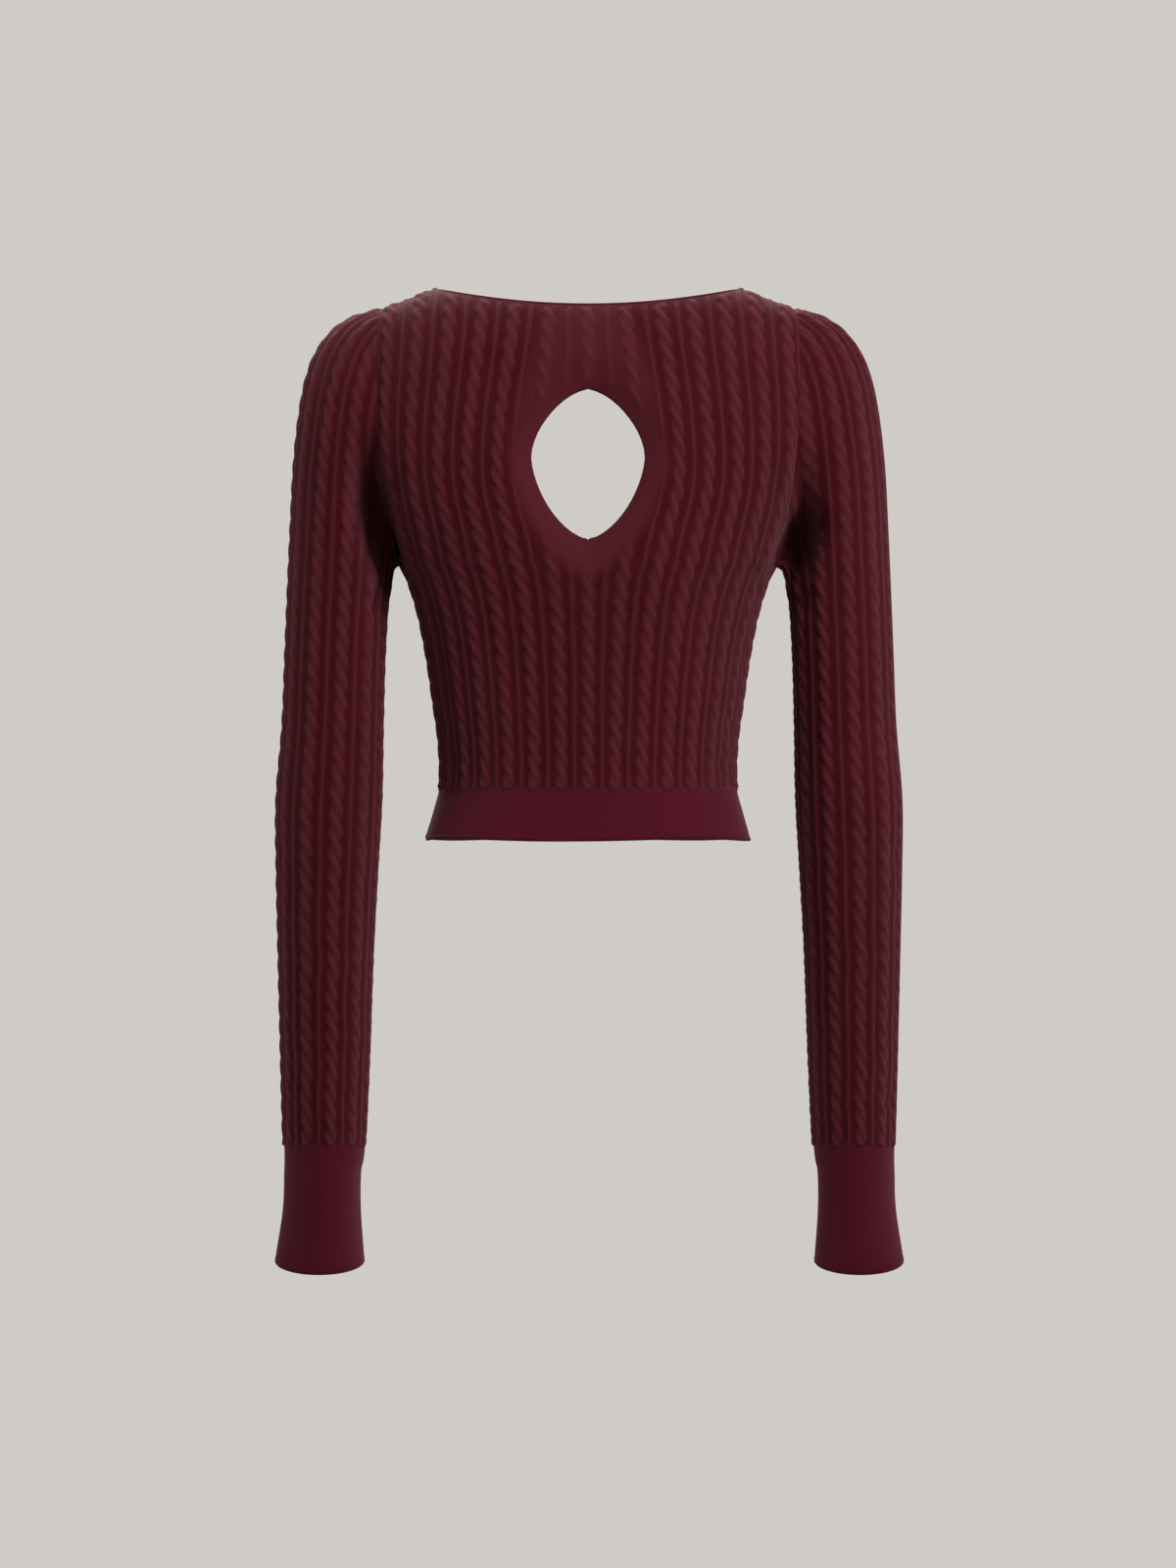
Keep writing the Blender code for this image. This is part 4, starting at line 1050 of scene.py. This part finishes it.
def panel_half_sheets(form, rows, side, creases):
    """Fine outer sheet and coarse inner sheet of half a panel. Side is 1 for the half at the right."""
    sizes = bpy.context.scene.sweater_sizes
    lines = [form.column_points(column, rows) for column in range(PANEL_COLUMNS + 1)]
    points, arcs = (np.stack(parts, axis=1) for parts in zip(*lines))
    repeat, length, width, local_width = form.knit_place(arcs, points[..., 2])
    phase, pitch = crossing_phase(length)
    mirror = -side * form.facing
    placed = points * np.array([mirror, 1.0, 1.0])
    fade, at_seam = edge_fade(points, form.facing > 0)
    plain = pale = sink = np.zeros_like(fade)
    if form.facing < 0:
        plain, pale = near_keyhole(points, PLAIN_MARGIN_UP), near_keyhole(points, PALE_MARGIN_UP)
        share = keyhole_share(points[..., 0], points[..., 2])
        sink = KEYHOLE_SINK * bump(share - KEYHOLE_SINK_START, KEYHOLE_SINK_REACH)
        fade = fade * (1 - plain)
    to_cable, to_rib = distances_across(repeat, local_width)
    to_cable = to_cable * side
    width = np.minimum(width, CHEST_REPEAT)
    height, offset = knit_relief(sizes, to_cable, to_rib, width, phase, pitch)
    height = height * fade + SEAM_RISE * at_seam
    # Where the cloth near the top edge is painted dark as the neck edge's shadow
    neck_shade_area = (points[..., 0] < NECK_CORNER_X) & (points[..., 2] > UNDERARM_Z)

    # From here on the columns run to the right, seen from outside
    grids = (placed, height, repeat, length, offset, fade, plain, pale, sink, to_cable, neck_shade_area)
    if side < 0:
        grids = (grid[:, ::-1] for grid in grids)
    placed, height, repeat, length, offset, fade, plain, pale, sink, to_cable, neck_shade_area = grids
    repeat = repeat * side
    normals = normals_of(placed, np.gradient(placed, axis=1))
    normals[np.abs(placed[..., 0]) < 1e-7, 0] = 0.0
    normals = unit(normals)
    inwards = crease_depth(placed, creases, mirror) + sink
    placed = placed - normals * inwards[..., None] + armhole_shift(placed, mirror)
    outer = kept_on_side(placed + normals * height[..., None], form.facing)
    inner = kept_on_side((placed - normals * sizes.wall)[::COARSE, ::COARSE], form.facing)
    # Tone of the painted shade: lighter by the cables' and ribs' height and round the keyhole, mid at the
    # seams, dark under the neck edge
    shown = np.clip(height / sizes.cable_rise, 0, 1) * fade
    edge_tone = np.where(neck_shade_area, NECK_SHADE_TONE, SEAM_TONE)
    tone = np.maximum(plain * PLAIN_TONE, pale * (1 - shown) * PALE_TONE)
    tone = tone + shown + (1 - fade) * (1 - plain) * edge_tone
    in_rope = (height > ROPE_LEAST_HEIGHT) & (np.abs(to_cable) < ROPE_REACH * CHEST_REPEAT)
    return knit_sheets(outer, inner, tone, repeat, length, CHEST_REPEAT, in_rope, offset)


def build_panel(node, facing, rows, open_rows, creases):
    """Both halves of a panel. The open rows end at the keyhole or V, the others at the centre line."""
    form = PanelForm(facing)
    first, last = open_rows
    sheets, rims, start = [], [], 0
    for side in (-1, 1):
        sheets += panel_half_sheets(form, rows, side, creases)
        fine = grid_numbers(start, sum(rows) + 1, PANEL_COLUMNS + 1)
        coarse = grid_numbers(start + fine.size, sum(rows) // COARSE + 1, PANEL_COLUMNS // COARSE + 1)
        start += fine.size + coarse.size
        far, near = (-1, 0) if side > 0 else (0, -1)
        rims += [(fine[0], coarse[0]), (fine[-1], coarse[-1]), (fine[:, far], coarse[:, far])]
        coarse_edge = coarse[first // COARSE : last // COARSE + 1, near]
        rims.append((fine[first : last + 1, near], coarse_edge))
    dress(closed_piece(node, sheets, rims), node, node)


# ---------------------------------------------------------------- sleeves


def cap_wales(points, stations):
    """Angle and length of the +X sleeve's wales, which keep beside its outer line up the cap."""
    x, y, z = points[..., 0], points[..., 1], points[..., 2]
    rings = np.array(SLEEVE_RINGS)[::-1]
    outer_line, inner_line = rings[:, [1, 0]], rings[:, [3, 2]]
    outer_x = smooth_table(outer_line, z, 1)
    level = np.minimum(z, CAP_START_Z)
    half_width = (smooth_table(outer_line, level, 1) - smooth_table(inner_line, level, 1)) / 2
    middle_z = (rings[:, 1] + rings[:, 3]) / 2
    rounding = np.clip((z - middle_z[-1]) / (rings[-1, 1] - middle_z[-1]), 0, 1)
    half_depth = np.interp(z, middle_z, rings[:, 4])
    half_depth = half_depth * np.sqrt(np.clip(1 - rounding**2, CAP_LEAST_ROUNDING, 1))
    across = (x - (outer_x - half_width)) / half_width
    angles = np.arctan2((y - ring_column(stations, 6)) / half_depth, across)
    line = ring_points(np.linspace(CUFF_RING, 0, LINE_STEPS + 1), np.zeros(LINE_STEPS + 1))
    lengths = lengths_along(line[:, None])[:, 0]
    return angles, np.interp(z, line[:, 2], lengths)


def wale_sway(length, angle):
    """How far the wales of the lower sleeve wander to one side, as a share of a repeat."""
    waves = np.zeros_like(length)
    for size, pitch, turns in SWAY_WAVES:
        waves += size * np.sin(2 * math.pi * length / pitch + turns * angle)
    return SWAY * waves * eased(length / SWAY_START) * eased((SWAY_END - length) / (SWAY_END / 2))


def even_stations():
    """Places along the sleeve from cuff to armhole, evenly spaced by its mean length."""
    stations = np.linspace(CUFF_RING, 0, STATION_STEPS + 1)
    turns = np.linspace(-1, 1, STATION_LINES + 1)[:-1] * math.pi
    lines = ring_points(*np.meshgrid(stations, turns, indexing="ij"))
    mean_length = lengths_along(lines).mean(axis=1)
    return np.interp(np.linspace(0, mean_length[-1], SLEEVE_ROWS + 1), mean_length, stations)


def build_sleeve(node, side):
    """A sleeve from cuff to armhole, one closed wall with its cables and ribs outside."""
    sizes = bpy.context.scene.sweater_sizes
    turns = np.linspace(-math.pi, math.pi, SLEEVE_COLUMNS + 1) * side
    station, angle = np.meshgrid(even_stations(), turns, indexing="ij")
    points = ring_points(levelled(station, angle), angle)
    in_cap = eased((CAP_BLEND_RING + CAP_BLEND / 2 - station) / CAP_BLEND)
    cap_angle, cap_length = cap_wales(points, station)
    cap_angle = np.abs(cap_angle) * np.where(np.abs(angle) < 1e-9, 0.0, np.sign(angle))
    wale = (angle * (1 - in_cap) + cap_angle * in_cap) * side / (2 * math.pi) * SLEEVE_REPEATS
    length = lengths_along(points) * (1 - in_cap) + cap_length * in_cap
    placed = set_on_side(points, station, side)
    folds = armhole_shift(placed, side)
    placed[-1, :, 0] -= side * SEAM_LAP

    width = np.minimum(repeat_width(placed, wale), WIDEST_SLEEVE_REPEAT)
    repeat = wale + SLEEVE_SHIFT[side] + wale_sway(length, angle)
    to_cable, to_rib = distances_across(repeat, width)
    height, offset = knit_relief(sizes, to_cable, to_rib, width, length / SLEEVE_PITCH, SLEEVE_PITCH)
    from_cuff = lengths_along(placed)
    from_top = from_cuff[-1:] - from_cuff
    from_seam = (0.5 - np.abs(angle) / (2 * math.pi)) * SLEEVE_REPEATS * SLEEVE_REPEAT
    fade = eased(np.minimum(np.minimum(from_cuff, from_top), from_seam) / SEAM_FADE)
    height = height * fade + SEAM_RISE * (1 - eased(from_top / SEAM_FADE))

    normals = normals_of(placed, steps_round(placed))
    creased = crease_depth(placed, SLEEVE_CREASES, side)[..., None]
    placed = placed - normals * creased + folds
    outer = placed + normals * height[..., None]
    inner = (placed - normals * sizes.wall)[::COARSE, ::COARSE]
    for grid in (outer, inner):
        grid[:, -1] = grid[:, 0]
    # Tone of the painted shade: lighter by the cables' and ribs' height, mid at the seams
    tone = height / sizes.cable_rise * fade + (1 - fade) * SEAM_TONE
    in_rope = (height > ROPE_LEAST_HEIGHT) & (np.abs(to_cable) < ROPE_REACH * width)
    sheets = knit_sheets(outer, inner, tone, repeat, length, SLEEVE_REPEAT, in_rope, offset)
    fine = grid_numbers(0, SLEEVE_ROWS + 1, SLEEVE_COLUMNS + 1)
    coarse = grid_numbers(fine.size, SLEEVE_ROWS // COARSE + 1, SLEEVE_COLUMNS // COARSE + 1)
    rims = [(fine[0], coarse[0]), (fine[-1], coarse[-1])]
    dress(closed_piece(node, sheets, rims), node, "sleeve")


# ---------------------------------------------------------------- bands, cuffs and neck edge


def rolled_end(height):
    """The small roll at a band's free end, with a fine groove over it."""
    return sum(rise * bump(height - over, width) for over, width, rise in END_ROLLS)


def band_section(wall, rows):
    """Closed section of a band: share of its height and distance inwards, round edges at both ends."""
    round_steps = np.linspace(0, math.pi, END_ROUND_STEPS + 1)[1:-1]
    close = np.linspace(0.0, END_SHARE, END_ROWS + 1)[:-1]
    side = np.concatenate([close, np.linspace(END_SHARE, 1.0, rows - END_ROWS)])
    path = [(share, 0.0) for share in side]
    path += [(1.0, wall / 2 * (1 - math.cos(step))) for step in round_steps]
    path += [(share, wall) for share in side[::-1][::COARSE]]
    path += [(0.0, wall / 2 * (1 + math.cos(step))) for step in round_steps]
    return np.array(path)


def build_band(node, kind, surface, height, rows, closed):
    """Sweeps a section round a band. Surface gives the points and directions at shares of its height."""
    wall = bpy.context.scene.sweater_sizes.band_wall
    shares, depths = band_section(wall, rows).T
    points, normals, up = surface(shares)
    swell = np.sin(np.clip(depths / wall, 0, 1) * math.pi) * wall * END_ROUND
    swell = swell * np.where(shares > 0.5, 1.0, -1.0)
    grid = points - normals * depths[:, None, None] + up * swell[:, None, None]
    grid = np.concatenate([grid, grid[:1]])
    across = lengths_along(grid.transpose(1, 0, 2)).T
    knit_map = np.stack([across, lengths_along(grid)], -1)
    # Tone of the painted shade: darker on the band's inner side, and painted shade along its free end
    inside = np.append(depths, depths[0])[:, None] / wall
    free_end = bump(np.append(shares, shares[0]) * height, END_SHADE_HEIGHT)
    shade_tone = (BAND_TONE - BAND_TONE_DROP * inside) * (1 - END_SHADE * free_end[:, None])
    ends = []
    if closed:
        grid[:, -1] = grid[:, 0]
    else:
        numbers = grid_numbers(0, *grid.shape[:2])
        ends = [list(numbers[:-1, 0]), list(numbers[:-1, -1])]
    sheet = (grid, knit_map, np.broadcast_to(shade_tone, grid.shape[:2]))
    dress(closed_piece(node, [sheet], [], ends), node, kind)


def build_hem_band(node, facing):
    """Half of the band at the waist, between the side seams."""
    low = HEM_Z + HEM_GAP

    def surface(shares):
        turns = np.linspace(-math.pi / 2, math.pi / 2, HEM_COLUMNS + 1)
        z, turn = np.meshgrid(low + (HEM_SEAM_Z - low) * shares, turns, indexing="ij")
        width = smooth_table(BODY_FORM, z, 1)
        depth = smooth_table(BODY_FORM, z, 2 if facing < 0 else 3)
        x = width * np.sign(turn) * np.abs(np.sin(turn)) ** (2 / SECTION_POWER)
        y = depth * np.cos(turn).clip(0) ** (2 / SECTION_POWER)
        out_x = np.sign(x) * (np.abs(x) / width) ** (SECTION_POWER - 1) / width
        out_y = (y / depth) ** (SECTION_POWER - 1) / depth
        flip = np.array([-facing, facing, 1.0])
        out = unit(np.stack([out_x, out_y, np.zeros_like(x)], -1) * flip)
        size, waves, reach = HEM_RIPPLE
        ripple = size * np.sin(turn * waves + z * HEM_RIPPLE_RISE) * bump(z - low, reach)
        points = np.stack([x, y, z], -1) * flip + out * (ripple + rolled_end(z - low))[..., None]
        points = kept_on_side(points, facing)
        size, waves, reach = HEM_WAVE
        points[..., 2] += size * np.sin(turn * waves + facing) * bump(z - low, reach)
        return points, out, np.array([0.0, 0.0, 1.0])

    build_band(node, "hem_band", surface, HEM_HEIGHT, HEM_ROWS, False)


def build_cuff(node, side):
    """A deep smooth cuff round the end of a sleeve."""
    end_ring = CUFF_END_RING - CUFF_END_GAP

    def surface(shares):
        stations = end_ring + (CUFF_RING - end_ring) * shares
        turns = np.linspace(-math.pi, math.pi, CUFF_COLUMNS + 1) * side
        station, turn = np.meshgrid(stations, turns, indexing="ij")
        above = station - RING_LEAN_STEP
        points = set_on_side(ring_points(levelled(station, turn), turn), station, side)
        higher = set_on_side(ring_points(levelled(above, turn), turn), above, side)
        up = unit(higher - points)
        out = unit(np.cross(steps_round(points), up))
        size, waves = CUFF_FOLD
        fold = size * np.sin(turn * waves + CUFF_FOLD_START) * np.sin(math.pi * shares)[:, None]
        fold = fold + rolled_end(shares * CUFF_LENGTH)[:, None]
        return points + out * fold[..., None], out, up

    build_band(node, "cuff", surface, CUFF_LENGTH, CUFF_ROWS, True)


def depth_squared(form, x, z):
    """Square of the body form's depth at places given by x and z."""
    return form.half_depth(x, z, np.interp(z, form.levels, form.width)) ** 2


def cloth_edge(facing):
    """A panel's edge under the neck edge, from -X to +X, and its outward directions."""
    form = PanelForm(facing)
    cut_x, cut_z = neck_cut(facing)
    order = np.argsort(cut_x)
    shoulder = smooth_table(SHOULDER_LINE, NECK_CORNER_X, 1)
    rise = np.linspace(cut_z[-1], shoulder, CORNER_STEPS)[1:]
    x = np.concatenate([cut_x[order], np.full(rise.shape, NECK_CORNER_X)])
    z = np.concatenate([cut_z[order], rise])
    x, z = np.concatenate([-x[:0:-1], x]), np.concatenate([z[:0:-1], z])
    y = facing * np.sqrt(depth_squared(form, x, z))
    low = z - EDGE_STEP
    slope_x = depth_squared(form, x + EDGE_STEP, low) - depth_squared(form, x - EDGE_STEP, low)
    slope_z = depth_squared(form, x, z) - depth_squared(form, x, low)
    out = np.stack([-slope_x / (2 * EDGE_STEP), 2 * y, -slope_z / EDGE_STEP], -1)
    return np.stack([x, y, z], -1), unit(out)


def build_neck_edge(node):
    """The narrow roll along both necklines, in one closed loop."""
    back, back_out = cloth_edge(-1)
    front, front_out = cloth_edge(1)
    loop = np.concatenate([back, front[-2:0:-1], back[:1]])
    loop_out = np.concatenate([back_out, front_out[-2:0:-1], back_out[:1]])
    lengths = lengths_along(loop[:, None])[:, 0]
    even = np.linspace(0, lengths[-1], NECK_EDGE_STEPS + 1)
    ring, out = (
        np.stack([np.interp(even[:-1], lengths, line[:, axis]) for axis in range(3)], -1)
        for line in (loop, loop_out)
    )
    for _ in range(NECK_CALMING):
        ring, out = (
            (np.roll(line, 1, axis=0) + 2 * line + np.roll(line, -1, axis=0)) / 4
            for line in (ring, out)
        )
    along = unit(np.roll(ring, -1, axis=0) - np.roll(ring, 1, axis=0))
    at_corner = bump(ring[:, 1], CORNER_REACH) * (ring[:, 2] > UNDERARM_Z / 2)
    out[:, 0] *= 1 - at_corner
    out = unit(out - along * np.sum(out * along, axis=-1, keepdims=True))
    up = np.cross(out, along)
    turns = np.linspace(0, 2 * math.pi, NECK_EDGE_SIDES + 1)[:, None, None]
    rise = (NECK_EDGE_HEIGHT + NECK_LAP) / 2 * (1 + np.cos(turns)) - NECK_LAP
    sink = bpy.context.scene.sweater_sizes.wall * NECK_EDGE_DEPTH
    grid = ring + up * rise + out * (NECK_EDGE_THICKNESS / 2 * np.sin(turns) - sink)
    grid = np.concatenate([grid, grid[:, :1]], axis=1)
    around = NECK_EDGE_GIRTH * turns[:, 0] / (2 * math.pi)
    knit_map = np.stack(np.broadcast_arrays(even, around), -1)
    # The whole neck edge is painted dark, as painted shade along the neckline
    tone = np.full(grid.shape[:2], NECK_SHADE_TONE)
    dress(closed_piece(node, [(grid, knit_map, tone)], []), node, "neck_edge")


# ---------------------------------------------------------------- stage


def floor_finish(colour):
    """Pale matt floor that fades out towards its rim."""
    finish = Finish("pale_floor")
    where = finish.value("ShaderNodeTexCoord", {}, {}, output=3)
    flat = finish.value("ShaderNodeVectorMath", {"operation": "MULTIPLY"}, {0: where, 1: (1.0, 1.0, 0.0)})
    away = finish.value("ShaderNodeVectorMath", {"operation": "LENGTH"}, {0: flat}, output=1)
    start, end = FLOOR_FADE
    reach = {"Value": away, "From Min": FLOOR_RADIUS * start, "From Max": FLOOR_RADIUS * end}
    fade = finish.value("ShaderNodeMapRange", {"interpolation_type": "SMOOTHSTEP"}, reach)
    noise = finish.value("ShaderNodeTexNoise", {}, {"Vector": where, "Scale": 3.0, "Detail": 2.0})
    tone = finish.mixed(noise * FLOOR_CLOUDS, *(scaled(colour, share) for share in FLOOR_TONES))
    matt = finish.value("ShaderNodeBsdfDiffuse", {}, {"Color": tone})
    clear = finish.value("ShaderNodeBsdfTransparent", {}, {})
    return finish.shown_by(finish.value("ShaderNodeMixShader", {}, {0: fade, 1: matt, 2: clear}))


def build_floor():
    bpy.ops.object.select_all(action="DESELECT")
    bpy.ops.mesh.primitive_circle_add(vertices=FLOOR_SIDES, radius=FLOOR_RADIUS, fill_type="NGON")
    floor = bpy.context.object
    floor.name = "pale_floor"
    for vertex in floor.data.vertices:
        vertex.co.z = FLOOR_Z
    floor.data.materials.append(floor_finish(bpy.context.scene.sweater_colours.stage))


def add_soft_light(name, power, place, aim, size, colour):
    light = bpy.data.lights.new(name, "AREA")
    light.shape = "DISK"
    light.size = size
    light.energy = power
    light.color = colour
    obj = bpy.data.objects.new(name, light)
    bpy.context.scene.collection.objects.link(obj)
    obj.location = place
    direction = Vector(aim) - Vector(place)
    obj.rotation_euler = direction.to_track_quat("-Z", "Y").to_euler()


def set_world(colour):
    world = bpy.data.worlds.new("pale_backdrop")
    bpy.context.scene.world = world
    world.use_nodes = True
    background = world.node_tree.nodes["Background"]
    background.inputs[0].default_value = (*colour, 1.0)
    background.inputs[1].default_value = 1.0


def add_camera():
    data = bpy.data.cameras.new("camera")
    camera = bpy.data.objects.new("camera", data)
    bpy.context.scene.collection.objects.link(camera)
    data.sensor_width = SENSOR
    data.lens = SENSOR * CAMERA_DISTANCE / VIEW_HEIGHT
    data.clip_end = CLIP_END
    camera.location = (0.0, -CAMERA_DISTANCE, CAMERA_Z)
    camera.rotation_euler = (math.pi / 2, 0.0, 0.0)
    bpy.context.scene.camera = camera


# ---------------------------------------------------------------- add-on


def length_setting(name, description, default):
    return FloatProperty(name=name, description=description, default=default, unit="LENGTH")


def colour_setting(name, description, default):
    return FloatVectorProperty(
        name=name, description=description, default=default, subtype="COLOR", min=0.0, max=1.0
    )


def power_setting(name, description, default):
    return FloatProperty(name=name, description=description, default=default, min=0.0)


class SweaterSizes(bpy.types.PropertyGroup):
    cable_rise: length_setting("Cable rise", "How far the cables stand out", 0.0019)
    rib_rise: length_setting("Rib rise", "How far the single ribs stand out", 0.0010)
    wall: length_setting("Cloth", "Thickness of the cable-knit cloth", 0.0016)
    band_wall: length_setting("Bands", "Thickness of the hem band and cuffs", 0.0022)
    stitch_width: length_setting("Stitch width", "Width of one stitch", 0.0016)
    stitch_height: length_setting("Stitch height", "Height of one row", 0.0013)


class SweaterColours(bpy.types.PropertyGroup):
    cable: colour_setting("Cable knit", "Yarn of the panels and sleeves", (0.0470, 0.0072, 0.0112))
    # Painted shade down between the cables and ribs, mixed in where the shade tone is low
    valley_shade: colour_setting("Valleys", "Yarn down between cables and ribs", (0.0235, 0.0003, 0.0018))
    smooth: colour_setting("Smooth knit", "Yarn of the bands, cuffs and edge", (0.0400, 0.0024, 0.0082))
    stage: colour_setting("Stage", "Floor and backdrop", (0.624, 0.604, 0.571))
    key_power: power_setting("Key light", "Power of the soft light at the right", 300.0)
    side_power: power_setting("Side light", "Power of the soft light at the left", 60.0)
    rim_power: power_setting("Rim light", "Power of the soft light at the wearer's front", 300.0)


class SWEATER_OT_panels(bpy.types.Operator):
    """Knit the back with its keyhole and the front with its V neckline"""

    bl_idname = "sweater.panels"
    bl_label = "Panels"

    def execute(self, context):
        build_panel("back_panel", -1, BACK_ROWS, BACK_OPEN_ROWS, BACK_CREASES)
        build_panel("front_panel", 1, FRONT_ROWS, FRONT_OPEN_ROWS, FRONT_CREASES)
        return {"FINISHED"}


class SWEATER_OT_sleeves(bpy.types.Operator):
    """Knit the two set-in sleeves"""

    bl_idname = "sweater.sleeves"
    bl_label = "Sleeves"

    def execute(self, context):
        build_sleeve("left_sleeve", -1)
        build_sleeve("right_sleeve", 1)
        return {"FINISHED"}


class SWEATER_OT_hem_bands(bpy.types.Operator):
    """Knit the smooth band at the waist"""

    bl_idname = "sweater.hem_bands"
    bl_label = "Hem bands"

    def execute(self, context):
        build_hem_band("back_hem_band", -1)
        build_hem_band("front_hem_band", 1)
        return {"FINISHED"}


class SWEATER_OT_cuffs(bpy.types.Operator):
    """Knit the two deep smooth cuffs"""

    bl_idname = "sweater.cuffs"
    bl_label = "Cuffs"

    def execute(self, context):
        build_cuff("left_cuff", -1)
        build_cuff("right_cuff", 1)
        return {"FINISHED"}


class SWEATER_OT_neck_edge(bpy.types.Operator):
    """Roll the narrow edge round the neckline"""

    bl_idname = "sweater.neck_edge"
    bl_label = "Neck edge"

    def execute(self, context):
        build_neck_edge("neck_edge")
        return {"FINISHED"}


class SWEATER_OT_stage(bpy.types.Operator):
    """Set the pale floor and backdrop, the soft lights and the camera"""

    bl_idname = "sweater.stage"
    bl_label = "Stage"

    def execute(self, context):
        colours = context.scene.sweater_colours
        build_floor()
        set_world(colours.stage)
        for name, (power, *light) in LIGHTS.items():
            add_soft_light(name, getattr(colours, power), *light)
        add_camera()
        context.scene.view_settings.view_transform = "Standard"
        return {"FINISHED"}


OPERATORS = (
    SWEATER_OT_panels,
    SWEATER_OT_sleeves,
    SWEATER_OT_hem_bands,
    SWEATER_OT_cuffs,
    SWEATER_OT_neck_edge,
    SWEATER_OT_stage,
)


class SWEATER_PT_panel(bpy.types.Panel):
    bl_label = "Sweater"
    bl_idname = "SWEATER_PT_panel"
    bl_space_type = "VIEW_3D"
    bl_region_type = "UI"
    bl_category = "Sweater"

    def draw(self, context):
        for group in (context.scene.sweater_sizes, context.scene.sweater_colours):
            for name in group.__annotations__:
                self.layout.prop(group, name)
        for operator in OPERATORS:
            self.layout.operator(operator.bl_idname)


CLASSES = (SweaterSizes, SweaterColours, *OPERATORS, SWEATER_PT_panel)


def register():
    for made in CLASSES:
        bpy.utils.register_class(made)
    bpy.types.Scene.sweater_sizes = PointerProperty(type=SweaterSizes)
    bpy.types.Scene.sweater_colours = PointerProperty(type=SweaterColours)


def unregister():
    del bpy.types.Scene.sweater_colours
    del bpy.types.Scene.sweater_sizes
    for made in reversed(CLASSES):
        bpy.utils.unregister_class(made)


def main():
    register()
    bpy.ops.sweater.panels()
    bpy.ops.sweater.sleeves()
    bpy.ops.sweater.hem_bands()
    bpy.ops.sweater.cuffs()
    bpy.ops.sweater.neck_edge()
    bpy.ops.sweater.stage()


if __name__ == "__main__":
    main()
